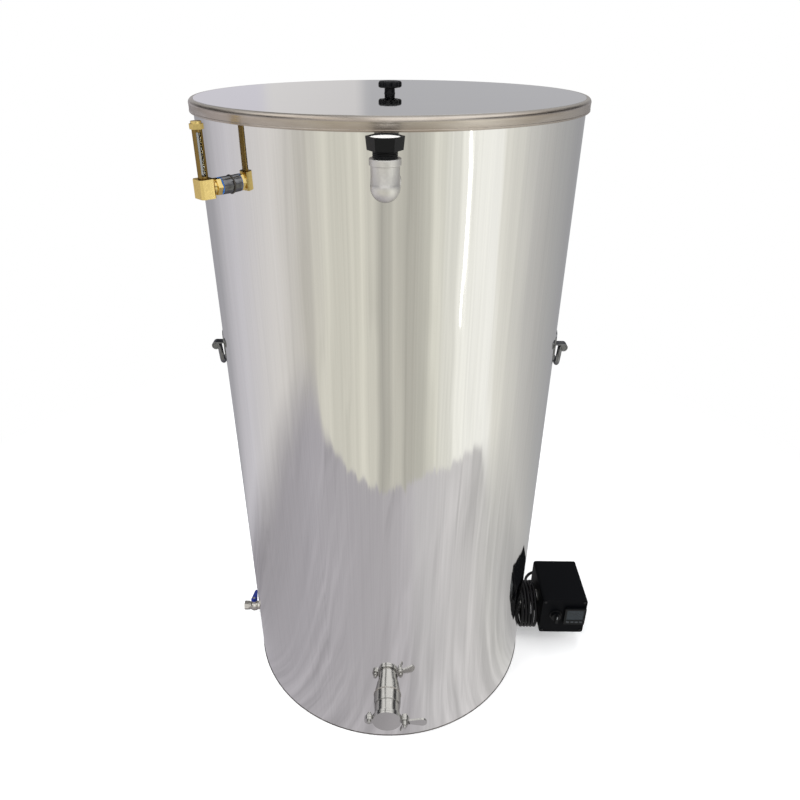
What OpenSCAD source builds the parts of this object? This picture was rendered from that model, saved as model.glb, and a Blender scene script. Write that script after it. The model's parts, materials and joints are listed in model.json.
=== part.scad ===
// Honey settling tank: a stainless vessel in a heated water jacket, with a swing gate to draw the honey off.
// Lengths are in millimetres. The origin is the centre of the base, the front is towards -Y and up is +Z.

/* [Tank] */
// Outside diameter of the tank wall
tank_d = 610; // [560:1:700]
// Height from the floor to the top ring
tank_h = 1180; // [1120:1:1400]
// Thickness of the stainless sheet
sheet_t = 1.5; // [1:0.1:2.5]
// Thickness of the base plate, the vessel bottom and the top ring
plate_t = 2; // [1.5:0.1:4]
// Width of the water space round the vessel
jacket_w = 24; // [18:1:36]
// Height of the underside of the vessel above the floor
vessel_z = 100; // [98:1:115]
// Diameter of the posts under the vessel
post_d = 24; // [16:1:40]

/* [Lid] */
// Distance that the lid band stands out from the wall
lid_over = 6; // [4:0.5:9]
// Thickness of the lid panel
lid_t = 2; // [1.5:0.1:3]
// Height of the lid band
lid_band_h = 18; // [14:0.5:24]
// Thickness of the lid band
lid_band_t = 1.5; // [1:0.1:2.5]
// Rounding of the lid's top edge
lid_edge_r = 6; // [4:0.1:8]
// Diameter of the lid knob over its lobes
knob_d = 38; // [34:0.5:50]
// Height of the knob's head
knob_head_h = 10; // [8:0.5:16]
// Diameter of the knob's stem
knob_stem_d = 17; // [13:0.5:22]
// Height of the knob's stem
knob_stem_h = 8; // [5:0.5:15]
// Number of lobes on the knob
knob_lobes = 7; // [5:1:9]

/* [Honey gate] */
// Outside diameter of the outlet pipe
outlet_d = 44; // [40.5:0.5:45]
// Bore of the outlet
outlet_bore_d = 40; // [30:0.5:40]
// Height of the pipe above the vessel bottom
outlet_rise = 2; // [1:0.5:20]
// Outside diameter of the collar on the wall
collar_d = 52; // [48:0.5:60]
// Length of the collar on the wall
collar_l = 23; // [14:0.5:30]
// Outside diameter of the gate's tube
gate_tube_d = 48; // [47:0.5:52]
// Length of the gate's tube
gate_tube_l = 24; // [20:0.5:45]
// Diameter of the gate's flange and plate
gate_d = 55; // [52:0.5:58]
// Thickness of the gate's flange
flange_t = 5; // [4:0.5:8]
// Thickness of the gate plate
gate_plate_t = 4; // [3:0.5:6]
// Distance from the outlet's axis to the pivot and to the clamp bolt
gate_bolt_x = 34; // [33:0.5:36]
// Diameter of the gate's bolts
gate_bolt_d = 6; // [5:0.5:7]
// Diameter of the ears that take the bolts
gate_ear_d = 17; // [16:0.5:20]
// Reach of the lever from the outlet's axis
lever_reach = 76; // [68:1:110]
// Width of the lever's neck
lever_neck_w = 9; // [6:0.5:10]
// Width of the lever's end
lever_end_w = 18; // [10:0.5:24]
// Span of the wing nut over its wings
wing_span = 28; // [24:0.5:36]

/* [Water filler] */
// Distance from the top ring down to the filler elbow's axis
fill_drop = 71; // [64:1:120]
// Distance from the wall to the elbow's upright axis
fill_out = 47; // [42:0.5:60]
// Distance from the elbow's centre to its faces
elbow_a = 33; // [30:0.5:38]
// Outside diameter of the elbow's bands
elbow_band_d = 38; // [36:0.5:44]
// Outside diameter of the elbow's legs
elbow_leg_d = 34.5; // [33:0.5:36]
// Outside diameter of the filler thread
fill_thread_d = 26.6; // [25:0.1:28]
// Width of the filler plug's hexagon over its corners
fill_hex_d = 46; // [42:0.5:50]
// Height of the filler plug's hexagon
fill_hex_h = 15.5; // [12:0.5:24]
// Height of the neck that shows under the hexagon
fill_neck_h = 8.5; // [3:0.5:12]
// Diameter of the white disc in the plug's top
vent_disc_d = 37.4; // [24:0.2:38]

/* [Level gauge] */
// Angle of the gauge to the left of the front, in degrees
sight_angle = 45.5; // [25:0.5:65]
// Distance from the top ring down to the gauge's axis
sight_drop = 96; // [80:1:140]
// Outside diameter of the gauge's coupling
sight_coupling_d = 23.6; // [22:0.2:30]
// Length of the gauge's coupling
sight_coupling_l = 16; // [14:0.5:40]
// Width across the flats of the gauge's nipple
sight_hex_af = 21; // [20:0.5:24]
// Width of the gauge's elbow
sight_elbow_w = 24; // [21:0.5:30]
// Length of the gauge's elbow, away from the wall
sight_elbow_l = 22; // [20:0.5:30]
// Height of the gauge's elbow
sight_elbow_h = 25.5; // [24:0.5:32]
// Outside diameter of the slotted guard tube
guard_d = 13.5; // [13:0.1:14.5]
// Height of the guard tube between the elbow and the cap
guard_h = 62; // [40:0.5:90]
// Outside diameter of the glass
glass_d = 10; // [8:0.1:10.5]
// Width of the slots in the guard tube
guard_slot_w = 6; // [3:0.1:7]
// Width of the cap nut across its flats
cap_af = 16; // [15.6:0.2:20]
// Height of the cap nut
cap_h = 10; // [9:0.5:16]

/* [Jacket drain] */
// Height of the drain's axis above the floor
drain_z = 46; // [30:1:70]
// Diameter of the drain's coupling and of the valve's ends
drain_d = 19; // [17:0.5:22]
// Length of the drain's coupling
drain_coupling_l = 10; // [9:0.5:20]
// Diameter of the ball in the drain valve
drain_ball_d = 14; // [12:0.5:15]
// Bore of the drain valve
drain_bore_d = 8; // [5:0.5:9]
// Diameter of the thread at the drain's outlet
drain_thread_d = 12; // [10:0.1:13]
// Length of the drain lever from its stem to its tip
drain_lever_l = 31; // [25:1:60]
// Width of the drain lever at its stem
drain_lever_w = 15; // [12:0.5:18]
// Width of the drain lever at its tip
drain_tip_w = 6.5; // [4:0.5:10]

/* [Handles] */
// Height of the handles' hinge axis above the floor
handle_z = 766; // [500:1:900]
// Width of a handle's plate round the wall
handle_w = 124; // [110:1:150]
// Height of a handle's plate
handle_h = 55; // [50:1:90]
// Thickness of a handle's plate
handle_t = 2.5; // [2:0.1:4]
// Distance from the wall to the hinge axis
hinge_out = 12; // [12:0.1:18]
// Diameter of the bail's rod
bail_rod_d = 9; // [6:0.2:10]
// Drop from the hinge axis to the bail's grip
bail_drop = 44; // [28:1:60]
// Angle by which the hanging bail leans out from the wall, in degrees
bail_lean = -4; // [-6:1:20]

/* [Heater and control box] */
// Distance from the vessel's underside down to the heater's axis
heater_drop = 11.2; // [9:0.1:20]
// Outside diameter of the heater's coupling
heater_coupling_d = 43; // [40:0.5:43]
// Length of the heater's coupling
heater_coupling_l = 25; // [22:0.5:26]
// Diameter of the heater's thread
heater_thread_d = 33; // [30:0.2:34]
// Width across the flats of the heater's hexagon
heater_hex_af = 38; // [35:0.5:38]
// Length of the heater's hexagon
heater_hex_l = 12; // [8:0.5:14]
// Length of the heater's neck between the hexagon and the box
heater_neck_l = 8; // [8:0.5:12]
// Reach of the heating element from its plug into the jacket
element_l = 250; // [120:1:285]
// Diameter of the heating element
element_d = 8; // [6:0.5:9]
// Width of the control box, away from the wall
box_w = 101.6; // [98:0.2:140]
// Depth of the control box, front to back
box_d = 127; // [120:1:160]
// Height of the control box
box_h = 101.6; // [96:0.2:112]
// Wall of the control box
box_t = 2.5; // [2:0.1:4]
// Rounding of the control box
box_r = 6; // [4:0.5:8]
// Thickness of the control panel
panel_t = 3; // [2:0.1:4]
// Width and height of the controller's bezel
bezel_w = 48; // [46:0.5:50]
// Distance that the bezel stands out from the panel
bezel_t = 7; // [5:0.5:10]
// Diameter of the selector knob
selector_d = 22; // [18:0.5:24]
// Height of the selector knob
selector_h = 14; // [9:0.5:20]
// Travel of the controller's keys
key_travel = 0.8; // [0.4:0.1:1]

/* [Power cord] */
// Diameter of the cord
cord_d = 7; // [5:0.1:7.2]
// Radius of the coil at the middle of the cord
coil_r = 51; // [46:0.5:52]
// Number of turns in the coil
coil_turns = 4.5; // [1.5:1:4.5]
// Advance of the coil in one turn
coil_pitch = 7.7; // [7.6:0.1:7.8]

/* [Hidden] */
$fn = 72;
tank_facets = 360;

// Overrun of every cut, and the fits between pieces
over = 1;
weld_gap = 0.05;
run_fit = 0.06;
face_gap = 0.3;
root = 10;

// Tank
tank_r = tank_d / 2;
wall_top = tank_h - plate_t;
vessel_r = tank_r - sheet_t - jacket_w;
vessel_in_r = vessel_r - sheet_t;
vessel_floor = vessel_z + plate_t;
posts = 3;
post_out_share = 0.7;

// Lid
lid_r = tank_r + lid_over;
lid_top = tank_h + lid_t;
lid_panel_r = lid_r - lid_edge_r - lid_band_t;
edge_step = 15;
lobe_share = 0.3;
knob_core_share = 0.84;
knob_screw_d = 6;
knob_screw_head_d = 14;
knob_screw_head_h = 3;
knob_screw_depth = 12;

// Honey gate, in distances from the tank's axis
outlet_r = outlet_d / 2;
outlet_z = vessel_floor + outlet_rise + outlet_r;
gate_start = tank_r + collar_l;
gate_socket_l = 16;
flange_back = gate_start + gate_tube_l;
flange_front = flange_back + flange_t;
plate_back = flange_front + face_gap;
plate_front = plate_back + gate_plate_t;
gate_bolt_r = gate_bolt_d / 2;
seal_in_d = 43;
seal_out_d = 49;
seal_groove = 1.5;
slot_gap = 1.4;
lever_lift = -2;
pivot_head_d = 8.5;
pivot_head_h = 3;
pivot_socket_af = 4;
pivot_socket_depth = 1.8;
nut_af_share = 1.67;
nut_h_share = 0.8;
gate_nut_af = gate_bolt_d * nut_af_share;
gate_nut_h = gate_bolt_d * nut_h_share;
bolt_tail = 4;
wing_hub_d = 11;
wing_hub_h = 9;
wing_t = 2.5;
wing_turn = 52;
// Outline of one wing, as shares of half the span and of the hub's height
wing_shares = [[0.2, 0.05], [0.84, 0.45], [1, 0.95], [0.96, 1.3], [0.78, 1.35], [0.55, 1.05], [0.2, 0.85]];

// Water filler
fill_z = tank_h - fill_drop;
fill_bore_d = 21;
fill_thread_r = fill_thread_d / 2;
fill_thread_l = 12;
fill_neck_d = 29.4;
elbow_socket_l = 14;
elbow_band_l = 8;
elbow_ball_d = 36;
fill_fit = 0.1;
vent_recess = 3.5;
vent_disc_t = 2;

// Level gauge, in distances from the tank's axis and from the gauge's axis
sight_z = tank_h - sight_drop;
sight_bore_d = 8;
sight_thread_d = 16;
sight_thread_l = 11;
sight_ring_t = 1.5;
sight_hex_l = 7;
sight_neck_l = 4.5;
sight_neck_d = 18;
elbow_thread_d = 13;
elbow_thread_l = 7;
sight_ring_at = tank_r + sight_coupling_l;
sight_hex_at = sight_ring_at + sight_ring_t;
sight_neck_at = sight_hex_at + sight_hex_l;
sight_elbow_at = sight_neck_at + sight_neck_l;
sight_axis = sight_elbow_at + sight_elbow_l / 2;
sight_elbow_top = sight_elbow_h / 2;
sight_chamfer = 3;
guard_seat = 5;
guard_wall_gap = 0.2;
guard_slot_end = 3.5;
guard_slot_turn = 76;
guard_in_cap = 4;
cap_vent_d = 3;
cap_dome_h = 3;
cap_dome_d = 14;
glass_wall = 1.5;

// Jacket drain, in distances from the tank's axis
drain_body_l = 26;
drain_end_l = 11;
drain_end_spigot = 7;
drain_male_l = 8;
drain_male_d = 12;
drain_at = tank_r + drain_coupling_l;
drain_body_end = drain_at + drain_body_l;
drain_ball_share = 0.5;
drain_ball_at = drain_at + drain_body_l * drain_ball_share;
drain_cavity_d = 17;
drain_bulb_d = 25;
drain_bonnet_d = 13;
drain_bonnet_h = 17;
drain_stem_d = 6;
drain_lever_t = 3.5;
drain_nut_af = 10;
drain_nut_h = 4;
drain_thread_l = 6.5;

// Handles
handle_below_share = 0.49;
handle_corner_r = 8;
bail_rod_r = bail_rod_d / 2;
bail_bend_r = 7;
knuckle_wall = 2.6;
knuckle_l = 16;
knuckle_edge = 4;
knuckle_gap = 1;
knuckle_out = handle_w / 2 - knuckle_edge;
knuckle_in = knuckle_out - knuckle_l;
bail_pin_in = knuckle_in - knuckle_gap;
bail_leg_x = bail_pin_in - bail_bend_r;

// Heater and control box
heater_z = vessel_z - heater_drop;
heater_thread_l = 20;
heater_hex_at = tank_r + heater_coupling_l;
heater_neck_at = heater_hex_at + heater_hex_l;
heater_plug_in = heater_hex_at - heater_thread_l;
box_at = heater_neck_at + heater_neck_l;
heater_neck_d = 30;
heater_tail_l = 10;
heater_fit = 0.1;
element_half = 10;
probe_d = 4.4;
probe_drop = 10;
probe_l = 110;
probe_tail_l = 14;
box_bottom = heater_z - box_h / 2;
box_front = -box_d / 2;
box_back = box_d / 2;
boss_d = 9;
boss_l = 14;
boss_inset = 6.5;
panel_screw_d = 3.5;
panel_head_d = 6.4;
panel_head_t = 1.2;
panel_screw_l = 11;
controller_x = 76;
controller_up = 56;
controller_body_w = 44;
controller_body_l = 52;
window_w = 38;
window_h = 29;
window_up = 5;
window_t = 1.2;
window_recess = 1.8;
key_w = 7;
key_h = 4.4;
key_step = 10;
key_drop = 16;
key_well = 2.6;
key_proud = 0.7;
key_gap = 0.3;
selector_x = 33;
selector_up = 56;
selector_rim_d = 28;
selector_rim_t = 2.5;
selector_barrel_d = 21;
selector_body_w = 26;
selector_body_l = 24;
selector_shaft_d = 6;
selector_shaft_l = 10;
selector_grip_w = 6;
selector_grip_share = 0.45;

// Power cord
cord_r = cord_d / 2;
hang_gap = 0.5;
gland_x = 50;
gland_up = 20;
gland_hex_af = 20;
gland_hex_l = 6;
gland_cone_l = 14;
gland_cone_d = 16;
gland_mouth_d = 9;
gland_stub_d = 12;
gland_stub_l = 8;
relief_l = 16;
relief_d = 15;
plug_w = 24;
plug_depth = 20;
plug_h = 32;
plug_chamfer = 4;
blade_w = 6.3;
blade_t = 1.5;
blade_l = 14;
blade_half = 6.35;
ground_d = 4.8;
ground_l = 15;
ground_back = 6;
blade_front = 4;

// Sides of the cord's tube, rings in one turn of the coil, and steps between the route's points
cord_sides = 8;
coil_rings = 24;
route_steps = 4;
neck_top = max(heater_coupling_d / 2, heater_hex_af / sqrt(3));
coil_x = box_at - 5.5;
coil_z = heater_z + neck_top + hang_gap + cord_r - coil_r;
coil_start = [coil_x, 0, coil_z - coil_r];
coil_end = [coil_x - coil_turns * coil_pitch, 0, coil_z + coil_r];
gland_mouth = [box_at + gland_x, box_back + gland_hex_l + gland_cone_l, box_bottom + gland_up];

// Route of the lead from the gland round to the coil, and of the tail from the coil to the plug
lead_points = [
    [400, 92, 58], [396, 106, 57], [386, 116, 54], [372, 120, 50], [358, 116, 46], [348, 106, 42],
    [344.5, 92, 37], [344.5, 72, 29], [344.5, 52, 22], [344.5, 32, 16.5], [344.5, 14, 13.4]
];
tail_points = [
    [310, 12, 114.6], [310, 26, 112], [310.5, 40, 106.5], [311.5, 52, 97.5], [312.5, 61, 86], [313, 66, 76],
    [313, 67, 71]
];
plug_at = [313, 67, 66];

// Cuts and stubs that follow the tank's wall

module face_of_wall(angle, z) {
    rotate([0, 0, angle]) translate([0, 0, z]) children();
}

module reach(from, to, d) {
    translate([0, -from, 0]) rotate([90, 0, 0]) cylinder(h = to - from, d = d);
}

module reach_hex(from, to, af) {
    translate([0, -from, 0]) rotate([90, 0, 0]) cylinder(h = to - from, r = af / sqrt(3), $fn = 6);
}

module reach_ring(from, to, d, bore) {
    difference() {
        reach(from, to, d);
        reach(from - over, to + over, bore);
    }
}

module round_of_tank(r, half) {
    translate([0, 0, -half - over]) cylinder(h = 2 * (half + over), r = r, $fn = tank_facets);
}

module wall_stub(l, d, bore) {
    difference() {
        reach(tank_r - root, tank_r + l, d);
        round_of_tank(tank_r + weld_gap, d / 2);
        reach(tank_r - root - over, tank_r + l + over, bore);
    }
}

module ring(d, bore, h) {
    difference() {
        cylinder(h = h, d = d);
        translate([0, 0, -over]) cylinder(h = h + 2 * over, d = bore);
    }
}

module rounded_bar(w, l, h, r) {
    translate([r, 0, 0]) cube([w - 2 * r, l, h]);
    translate([0, 0, r]) cube([w, l, h - 2 * r]);
    for (x = [r, w - r], z = [r, h - r]) translate([x, 0, z]) rotate([-90, 0, 0]) cylinder(h = l, r = r);
}

// Tank

module outer_wall() {
    color("silver") difference() {
        ring(tank_d, tank_d - 2 * sheet_t, wall_top);
        face_of_wall(0, outlet_z) reach(tank_r - root, tank_r + over, outlet_d + 2 * weld_gap);
        face_of_wall(0, fill_z) reach(tank_r - root, tank_r + over, fill_bore_d);
        face_of_wall(-sight_angle, sight_z) reach(tank_r - root, tank_r + over, sight_bore_d);
        face_of_wall(-90, drain_z) reach(tank_r - root, tank_r + over, drain_bore_d);
        face_of_wall(90, heater_z) reach(tank_r - root, tank_r + over, heater_thread_d);
    }
}

module base_plate() {
    color("silver") cylinder(h = plate_t, r = tank_r - sheet_t - weld_gap);
}

module vessel_wall() {
    color("gainsboro") difference() {
        translate([0, 0, vessel_floor]) ring(2 * vessel_r, 2 * vessel_in_r, wall_top - vessel_floor);
        face_of_wall(0, outlet_z) reach(vessel_r - root, vessel_r + over, outlet_d + 2 * weld_gap);
    }
}

module vessel_bottom() {
    color("gainsboro") translate([0, 0, vessel_z]) cylinder(h = plate_t, r = vessel_r);
}

module vessel_posts() {
    color("gray") for (i = [0 : posts - 1])
        rotate([0, 0, 90 + i * 360 / posts]) translate([vessel_r * post_out_share, 0, plate_t])
            cylinder(h = vessel_z - plate_t, d = post_d);
}

module top_ring() {
    color("silver") translate([0, 0, wall_top]) ring(tank_d, 2 * vessel_in_r, plate_t);
}

// Lid

module lid_panel() {
    color("silver") difference() {
        translate([0, 0, tank_h]) cylinder(h = lid_t, r = lid_panel_r - weld_gap);
        translate([0, 0, tank_h - over]) cylinder(h = lid_t + 2 * over, d = knob_screw_d + 2 * run_fit);
    }
}

module lid_band() {
    edge_at = [lid_r - lid_edge_r, lid_top - lid_edge_r];
    edge = [for (a = [0 : edge_step : 90]) edge_at + lid_edge_r * [cos(a), sin(a)]];
    hollow = [for (a = [90 : -edge_step : 0]) edge_at + (lid_edge_r - lid_band_t) * [cos(a), sin(a)]];
    color("tan") rotate_extrude() polygon(concat(
        [[lid_r - lid_band_t, lid_top - lid_band_h], [lid_r, lid_top - lid_band_h]],
        edge,
        [[lid_panel_r, lid_top], [lid_panel_r, lid_top - lid_band_t]],
        hollow
    ));
}

module lid_knob() {
    head_at = lid_top + knob_stem_h;
    lobe_r = knob_d * lobe_share / 2;
    color("black") difference() {
        union() {
            translate([0, 0, lid_top]) cylinder(h = knob_stem_h + over, d = knob_stem_d);
            translate([0, 0, head_at]) cylinder(h = knob_head_h, d = knob_d * knob_core_share);
            for (i = [0 : knob_lobes - 1])
                rotate([0, 0, i * 360 / knob_lobes]) translate([knob_d / 2 - lobe_r, 0, head_at])
                    cylinder(h = knob_head_h, r = lobe_r);
        }
        translate([0, 0, lid_top - over]) cylinder(h = knob_screw_depth + over, d = knob_screw_d + 2 * run_fit);
    }
}

module lid_knob_screw() {
    color("gray") {
        translate([0, 0, tank_h - knob_screw_head_h]) cylinder(h = knob_screw_head_h, d = knob_screw_head_d);
        translate([0, 0, tank_h - over]) cylinder(h = lid_t + knob_screw_depth + over - face_gap, d = knob_screw_d);
    }
}

// Honey gate

module outlet_pipe() {
    color("silver") face_of_wall(0, outlet_z) difference() {
        reach(vessel_in_r - root, gate_start + gate_socket_l, outlet_d);
        round_of_tank(vessel_in_r, outlet_r);
        reach(vessel_in_r - root - over, gate_start + gate_socket_l + over, outlet_bore_d);
    }
}

module outlet_collar() {
    color("silver") face_of_wall(0, outlet_z) wall_stub(collar_l, collar_d, outlet_d + 2 * weld_gap);
}

module gate_outline(from, to) {
    reach(from, to, gate_d);
    for (x = [-gate_bolt_x, gate_bolt_x]) translate([x, 0, 0]) reach(from, to, gate_ear_d);
}

module gate_body() {
    color("lightgray") face_of_wall(0, outlet_z) difference() {
        union() {
            reach(gate_start, flange_back + over, gate_tube_d);
            gate_outline(flange_back, flange_front);
        }
        reach(gate_start - over, gate_start + gate_socket_l, outlet_d + 2 * weld_gap);
        reach(gate_start - over, flange_front + over, outlet_bore_d);
        reach_ring(flange_front - seal_groove, flange_front + over, seal_out_d + 2 * run_fit, seal_in_d - 2 * run_fit);
        for (x = [-gate_bolt_x, gate_bolt_x])
            translate([x, 0, 0]) reach(flange_back - over, flange_front + over, gate_bolt_d + 2 * run_fit);
    }
}

module gate_seal() {
    color("white") face_of_wall(0, outlet_z)
        reach_ring(flange_front - seal_groove, plate_back, seal_out_d, seal_in_d);
}

module gate_plate() {
    slot_d = gate_bolt_d + 2 * slot_gap;
    neck_x = gate_bolt_x + slot_d / 2;
    end_x = lever_reach - lever_end_w / 2;
    color("lightgray") face_of_wall(0, outlet_z) difference() {
        union() {
            gate_outline(plate_back, plate_front);
            translate([0, -plate_back, lever_lift]) rotate([90, 0, 0]) linear_extrude(gate_plate_t) polygon([
                [neck_x, -lever_neck_w / 2], [end_x, -lever_end_w / 2],
                [end_x, lever_end_w / 2], [neck_x, lever_neck_w / 2]
            ]);
            translate([end_x, 0, lever_lift]) reach(plate_back, plate_front, lever_end_w);
        }
        translate([-gate_bolt_x, 0, 0]) reach(plate_back - over, plate_front + over, gate_bolt_d + 2 * run_fit);
        translate([gate_bolt_x, 0, 0]) reach(plate_back - over, plate_front + over, slot_d);
        translate([gate_bolt_x - slot_d / 2, -plate_front - over, -gate_ear_d])
            cube([slot_d, gate_plate_t + 2 * over, gate_ear_d]);
    }
}

module gate_pivot_screw() {
    head_at = plate_front + face_gap;
    color("gray") face_of_wall(0, outlet_z) translate([-gate_bolt_x, 0, 0]) difference() {
        union() {
            reach(flange_back - gate_nut_h - bolt_tail, head_at + over, gate_bolt_d);
            reach(head_at, head_at + pivot_head_h, pivot_head_d);
        }
        reach_hex(head_at + pivot_head_h - pivot_socket_depth, head_at + pivot_head_h + over, pivot_socket_af);
    }
}

module gate_pivot_nut() {
    color("gray") face_of_wall(0, outlet_z) translate([-gate_bolt_x, 0, 0]) difference() {
        reach_hex(flange_back - gate_nut_h, flange_back, gate_nut_af);
        reach(flange_back - gate_nut_h - over, flange_back + over, gate_bolt_d + 2 * run_fit);
    }
}

module gate_clamp_bolt() {
    color("gray") face_of_wall(0, outlet_z) translate([gate_bolt_x, 0, 0]) {
        reach_hex(flange_back - gate_nut_h, flange_back, gate_nut_af);
        reach(flange_back - over, plate_front + face_gap + wing_hub_h + bolt_tail, gate_bolt_d);
    }
}

module gate_wing_nut() {
    hub_at = plate_front + face_gap;
    wing = [for (p = wing_shares) [p[0] * wing_span / 2, p[1] * wing_hub_h]];
    color("silver") face_of_wall(0, outlet_z) translate([gate_bolt_x, 0, 0]) difference() {
        union() {
            reach(hub_at, hub_at + wing_hub_h, wing_hub_d);
            for (turn = [wing_turn, wing_turn + 180])
                translate([0, -hub_at, 0]) rotate([90, 0, 0]) rotate([0, 0, turn]) rotate([90, 0, 0])
                    translate([0, 0, -wing_t / 2]) linear_extrude(wing_t) polygon(wing);
        }
        reach(hub_at - over, hub_at + 2 * wing_hub_h, gate_bolt_d + 2 * run_fit);
    }
}

// Water filler

module at_filler() {
    translate([0, -tank_r - fill_out, fill_z]) children();
}

module fill_nipple() {
    color("silver") face_of_wall(0, fill_z)
        wall_stub(fill_out - elbow_a + fill_thread_l, fill_thread_d, fill_bore_d);
}

module elbow_leg() {
    cylinder(h = elbow_a, d = elbow_leg_d);
    translate([0, 0, elbow_a - elbow_band_l]) cylinder(h = elbow_band_l, d = elbow_band_d);
}

module elbow_way() {
    cylinder(h = elbow_a + over, d = fill_bore_d);
    translate([0, 0, elbow_a - elbow_socket_l])
        cylinder(h = elbow_socket_l + over, d = fill_thread_d + 2 * fill_fit);
}

module fill_elbow() {
    color("darkgray") at_filler() difference() {
        union() {
            sphere(d = elbow_ball_d);
            elbow_leg();
            rotate([-90, 0, 0]) elbow_leg();
        }
        sphere(d = fill_bore_d);
        elbow_way();
        rotate([-90, 0, 0]) elbow_way();
    }
}

module fill_plug() {
    hex_at = elbow_a + fill_neck_h;
    color("black") at_filler() difference() {
        union() {
            translate([0, 0, elbow_a - fill_thread_l])
                cylinder(h = fill_thread_l + over, d = fill_thread_d);
            translate([0, 0, elbow_a]) cylinder(h = fill_neck_h + over, d = fill_neck_d);
            translate([0, 0, hex_at]) cylinder(h = fill_hex_h, d = fill_hex_d, $fn = 6);
        }
        translate([0, 0, hex_at + fill_hex_h - vent_recess])
            cylinder(h = vent_recess + over, d = vent_disc_d + 2 * run_fit);
    }
}

module fill_vent_disc() {
    color("white") at_filler() translate([0, 0, elbow_a + fill_neck_h + fill_hex_h - vent_recess])
        cylinder(h = vent_disc_t, d = vent_disc_d);
}

// Level gauge

module at_gauge() {
    face_of_wall(-sight_angle, sight_z) children();
}

module at_gauge_tube() {
    at_gauge() translate([0, -sight_axis, 0]) children();
}

module sight_coupling() {
    color("silver") at_gauge() wall_stub(sight_coupling_l, sight_coupling_d, sight_thread_d + 2 * run_fit);
}

module sight_seal_ring() {
    color("dodgerblue") at_gauge()
        reach_ring(sight_ring_at, sight_hex_at, sight_coupling_d, sight_thread_d + 2 * run_fit);
}

module sight_nipple() {
    color("goldenrod") at_gauge() difference() {
        union() {
            reach(sight_ring_at - sight_thread_l, sight_hex_at + over, sight_thread_d);
            reach_hex(sight_hex_at, sight_neck_at, sight_hex_af);
            reach(sight_neck_at - over, sight_elbow_at, sight_neck_d);
            reach(sight_elbow_at - over, sight_elbow_at + elbow_thread_l, elbow_thread_d);
        }
        reach(tank_r, sight_elbow_at + elbow_thread_l + over, sight_bore_d);
    }
}

module chamfered_block(w, l, h, c) {
    half = w / 2 - c;
    translate([0, 0, -h / 2]) linear_extrude(h) polygon([
        [-half, -l / 2], [half, -l / 2], [w / 2, c - l / 2], [w / 2, l / 2 - c],
        [half, l / 2], [-half, l / 2], [-w / 2, l / 2 - c], [-w / 2, c - l / 2]
    ]);
}

module sight_elbow() {
    seat_at = sight_elbow_top - guard_seat;
    color("goldenrod") difference() {
        at_gauge_tube() chamfered_block(sight_elbow_w, sight_elbow_l, sight_elbow_h, sight_chamfer);
        at_gauge() reach(sight_elbow_at - over, sight_elbow_at + elbow_thread_l, elbow_thread_d + 2 * run_fit);
        at_gauge() reach(sight_elbow_at - over, sight_axis, sight_bore_d);
        at_gauge_tube() cylinder(h = sight_elbow_h, d = glass_d - 2 * glass_wall);
        at_gauge_tube() translate([0, 0, seat_at]) cylinder(h = sight_elbow_h, d = guard_d + 2 * run_fit);
    }
}

module sight_guard() {
    tube_h = guard_seat + guard_h + guard_in_cap;
    color("gold") at_gauge_tube() translate([0, 0, sight_elbow_top - guard_seat]) difference() {
        ring(guard_d, glass_d + 2 * guard_wall_gap, tube_h);
        rotate([0, 0, guard_slot_turn]) translate([-guard_slot_w / 2, -guard_d, guard_seat + guard_slot_end])
            cube([guard_slot_w, 2 * guard_d, guard_h - 2 * guard_slot_end]);
    }
}

module sight_glass() {
    color("lightcyan") at_gauge_tube() translate([0, 0, sight_elbow_top - guard_seat])
        ring(glass_d, glass_d - 2 * glass_wall, guard_seat + guard_h + guard_in_cap);
}

module sight_cap() {
    hex_h = cap_h - cap_dome_h;
    color("goldenrod") at_gauge_tube() translate([0, 0, sight_elbow_top + guard_h]) difference() {
        union() {
            cylinder(h = hex_h, r = cap_af / sqrt(3), $fn = 6);
            cylinder(h = cap_h, d = cap_dome_d);
        }
        translate([0, 0, -over]) cylinder(h = guard_in_cap + over, d = guard_d + 2 * run_fit);
        cylinder(h = cap_h + over, d = cap_vent_d);
    }
}

// Jacket drain

module at_drain() {
    face_of_wall(-90, drain_z) children();
}

module at_drain_stem() {
    at_drain() translate([0, -drain_ball_at, 0]) children();
}

module drain_coupling() {
    color("silver") at_drain() wall_stub(drain_coupling_l, drain_d, drain_male_d + 2 * run_fit);
}

module drain_valve_body() {
    color("lightgray") difference() {
        union() {
            at_drain() reach(drain_at - drain_male_l, drain_at + over, drain_male_d);
            at_drain() reach(drain_at, drain_body_end, drain_d);
            at_drain_stem() intersection() {
                sphere(d = drain_bulb_d);
                translate([-drain_bulb_d, drain_ball_at - drain_body_end, -drain_bulb_d])
                    cube(2 * drain_bulb_d);
            }
            at_drain_stem() cylinder(h = drain_bonnet_h, d = drain_bonnet_d);
        }
        at_drain() reach(drain_at - drain_male_l - over, drain_body_end, drain_bore_d);
        at_drain() reach(drain_ball_at - drain_cavity_d / 2, drain_body_end + over, drain_cavity_d);
        at_drain_stem() cylinder(h = drain_bonnet_h + over, d = drain_stem_d + 2 * run_fit);
    }
}

module drain_valve_end() {
    color("lightgray") difference() {
        union() {
            at_drain() reach_hex(drain_body_end, drain_body_end + drain_end_l, drain_d);
            at_drain() reach(drain_body_end - drain_end_spigot, drain_body_end + over, drain_cavity_d - 2 * run_fit);
        }
        at_drain() reach(drain_ball_at, drain_body_end + drain_end_l, drain_bore_d);
        at_drain() reach(drain_body_end + drain_end_l - drain_thread_l, drain_body_end + drain_end_l + over,
            drain_thread_d);
        at_drain_stem() sphere(d = drain_ball_d + 2 * face_gap);
    }
}

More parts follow.
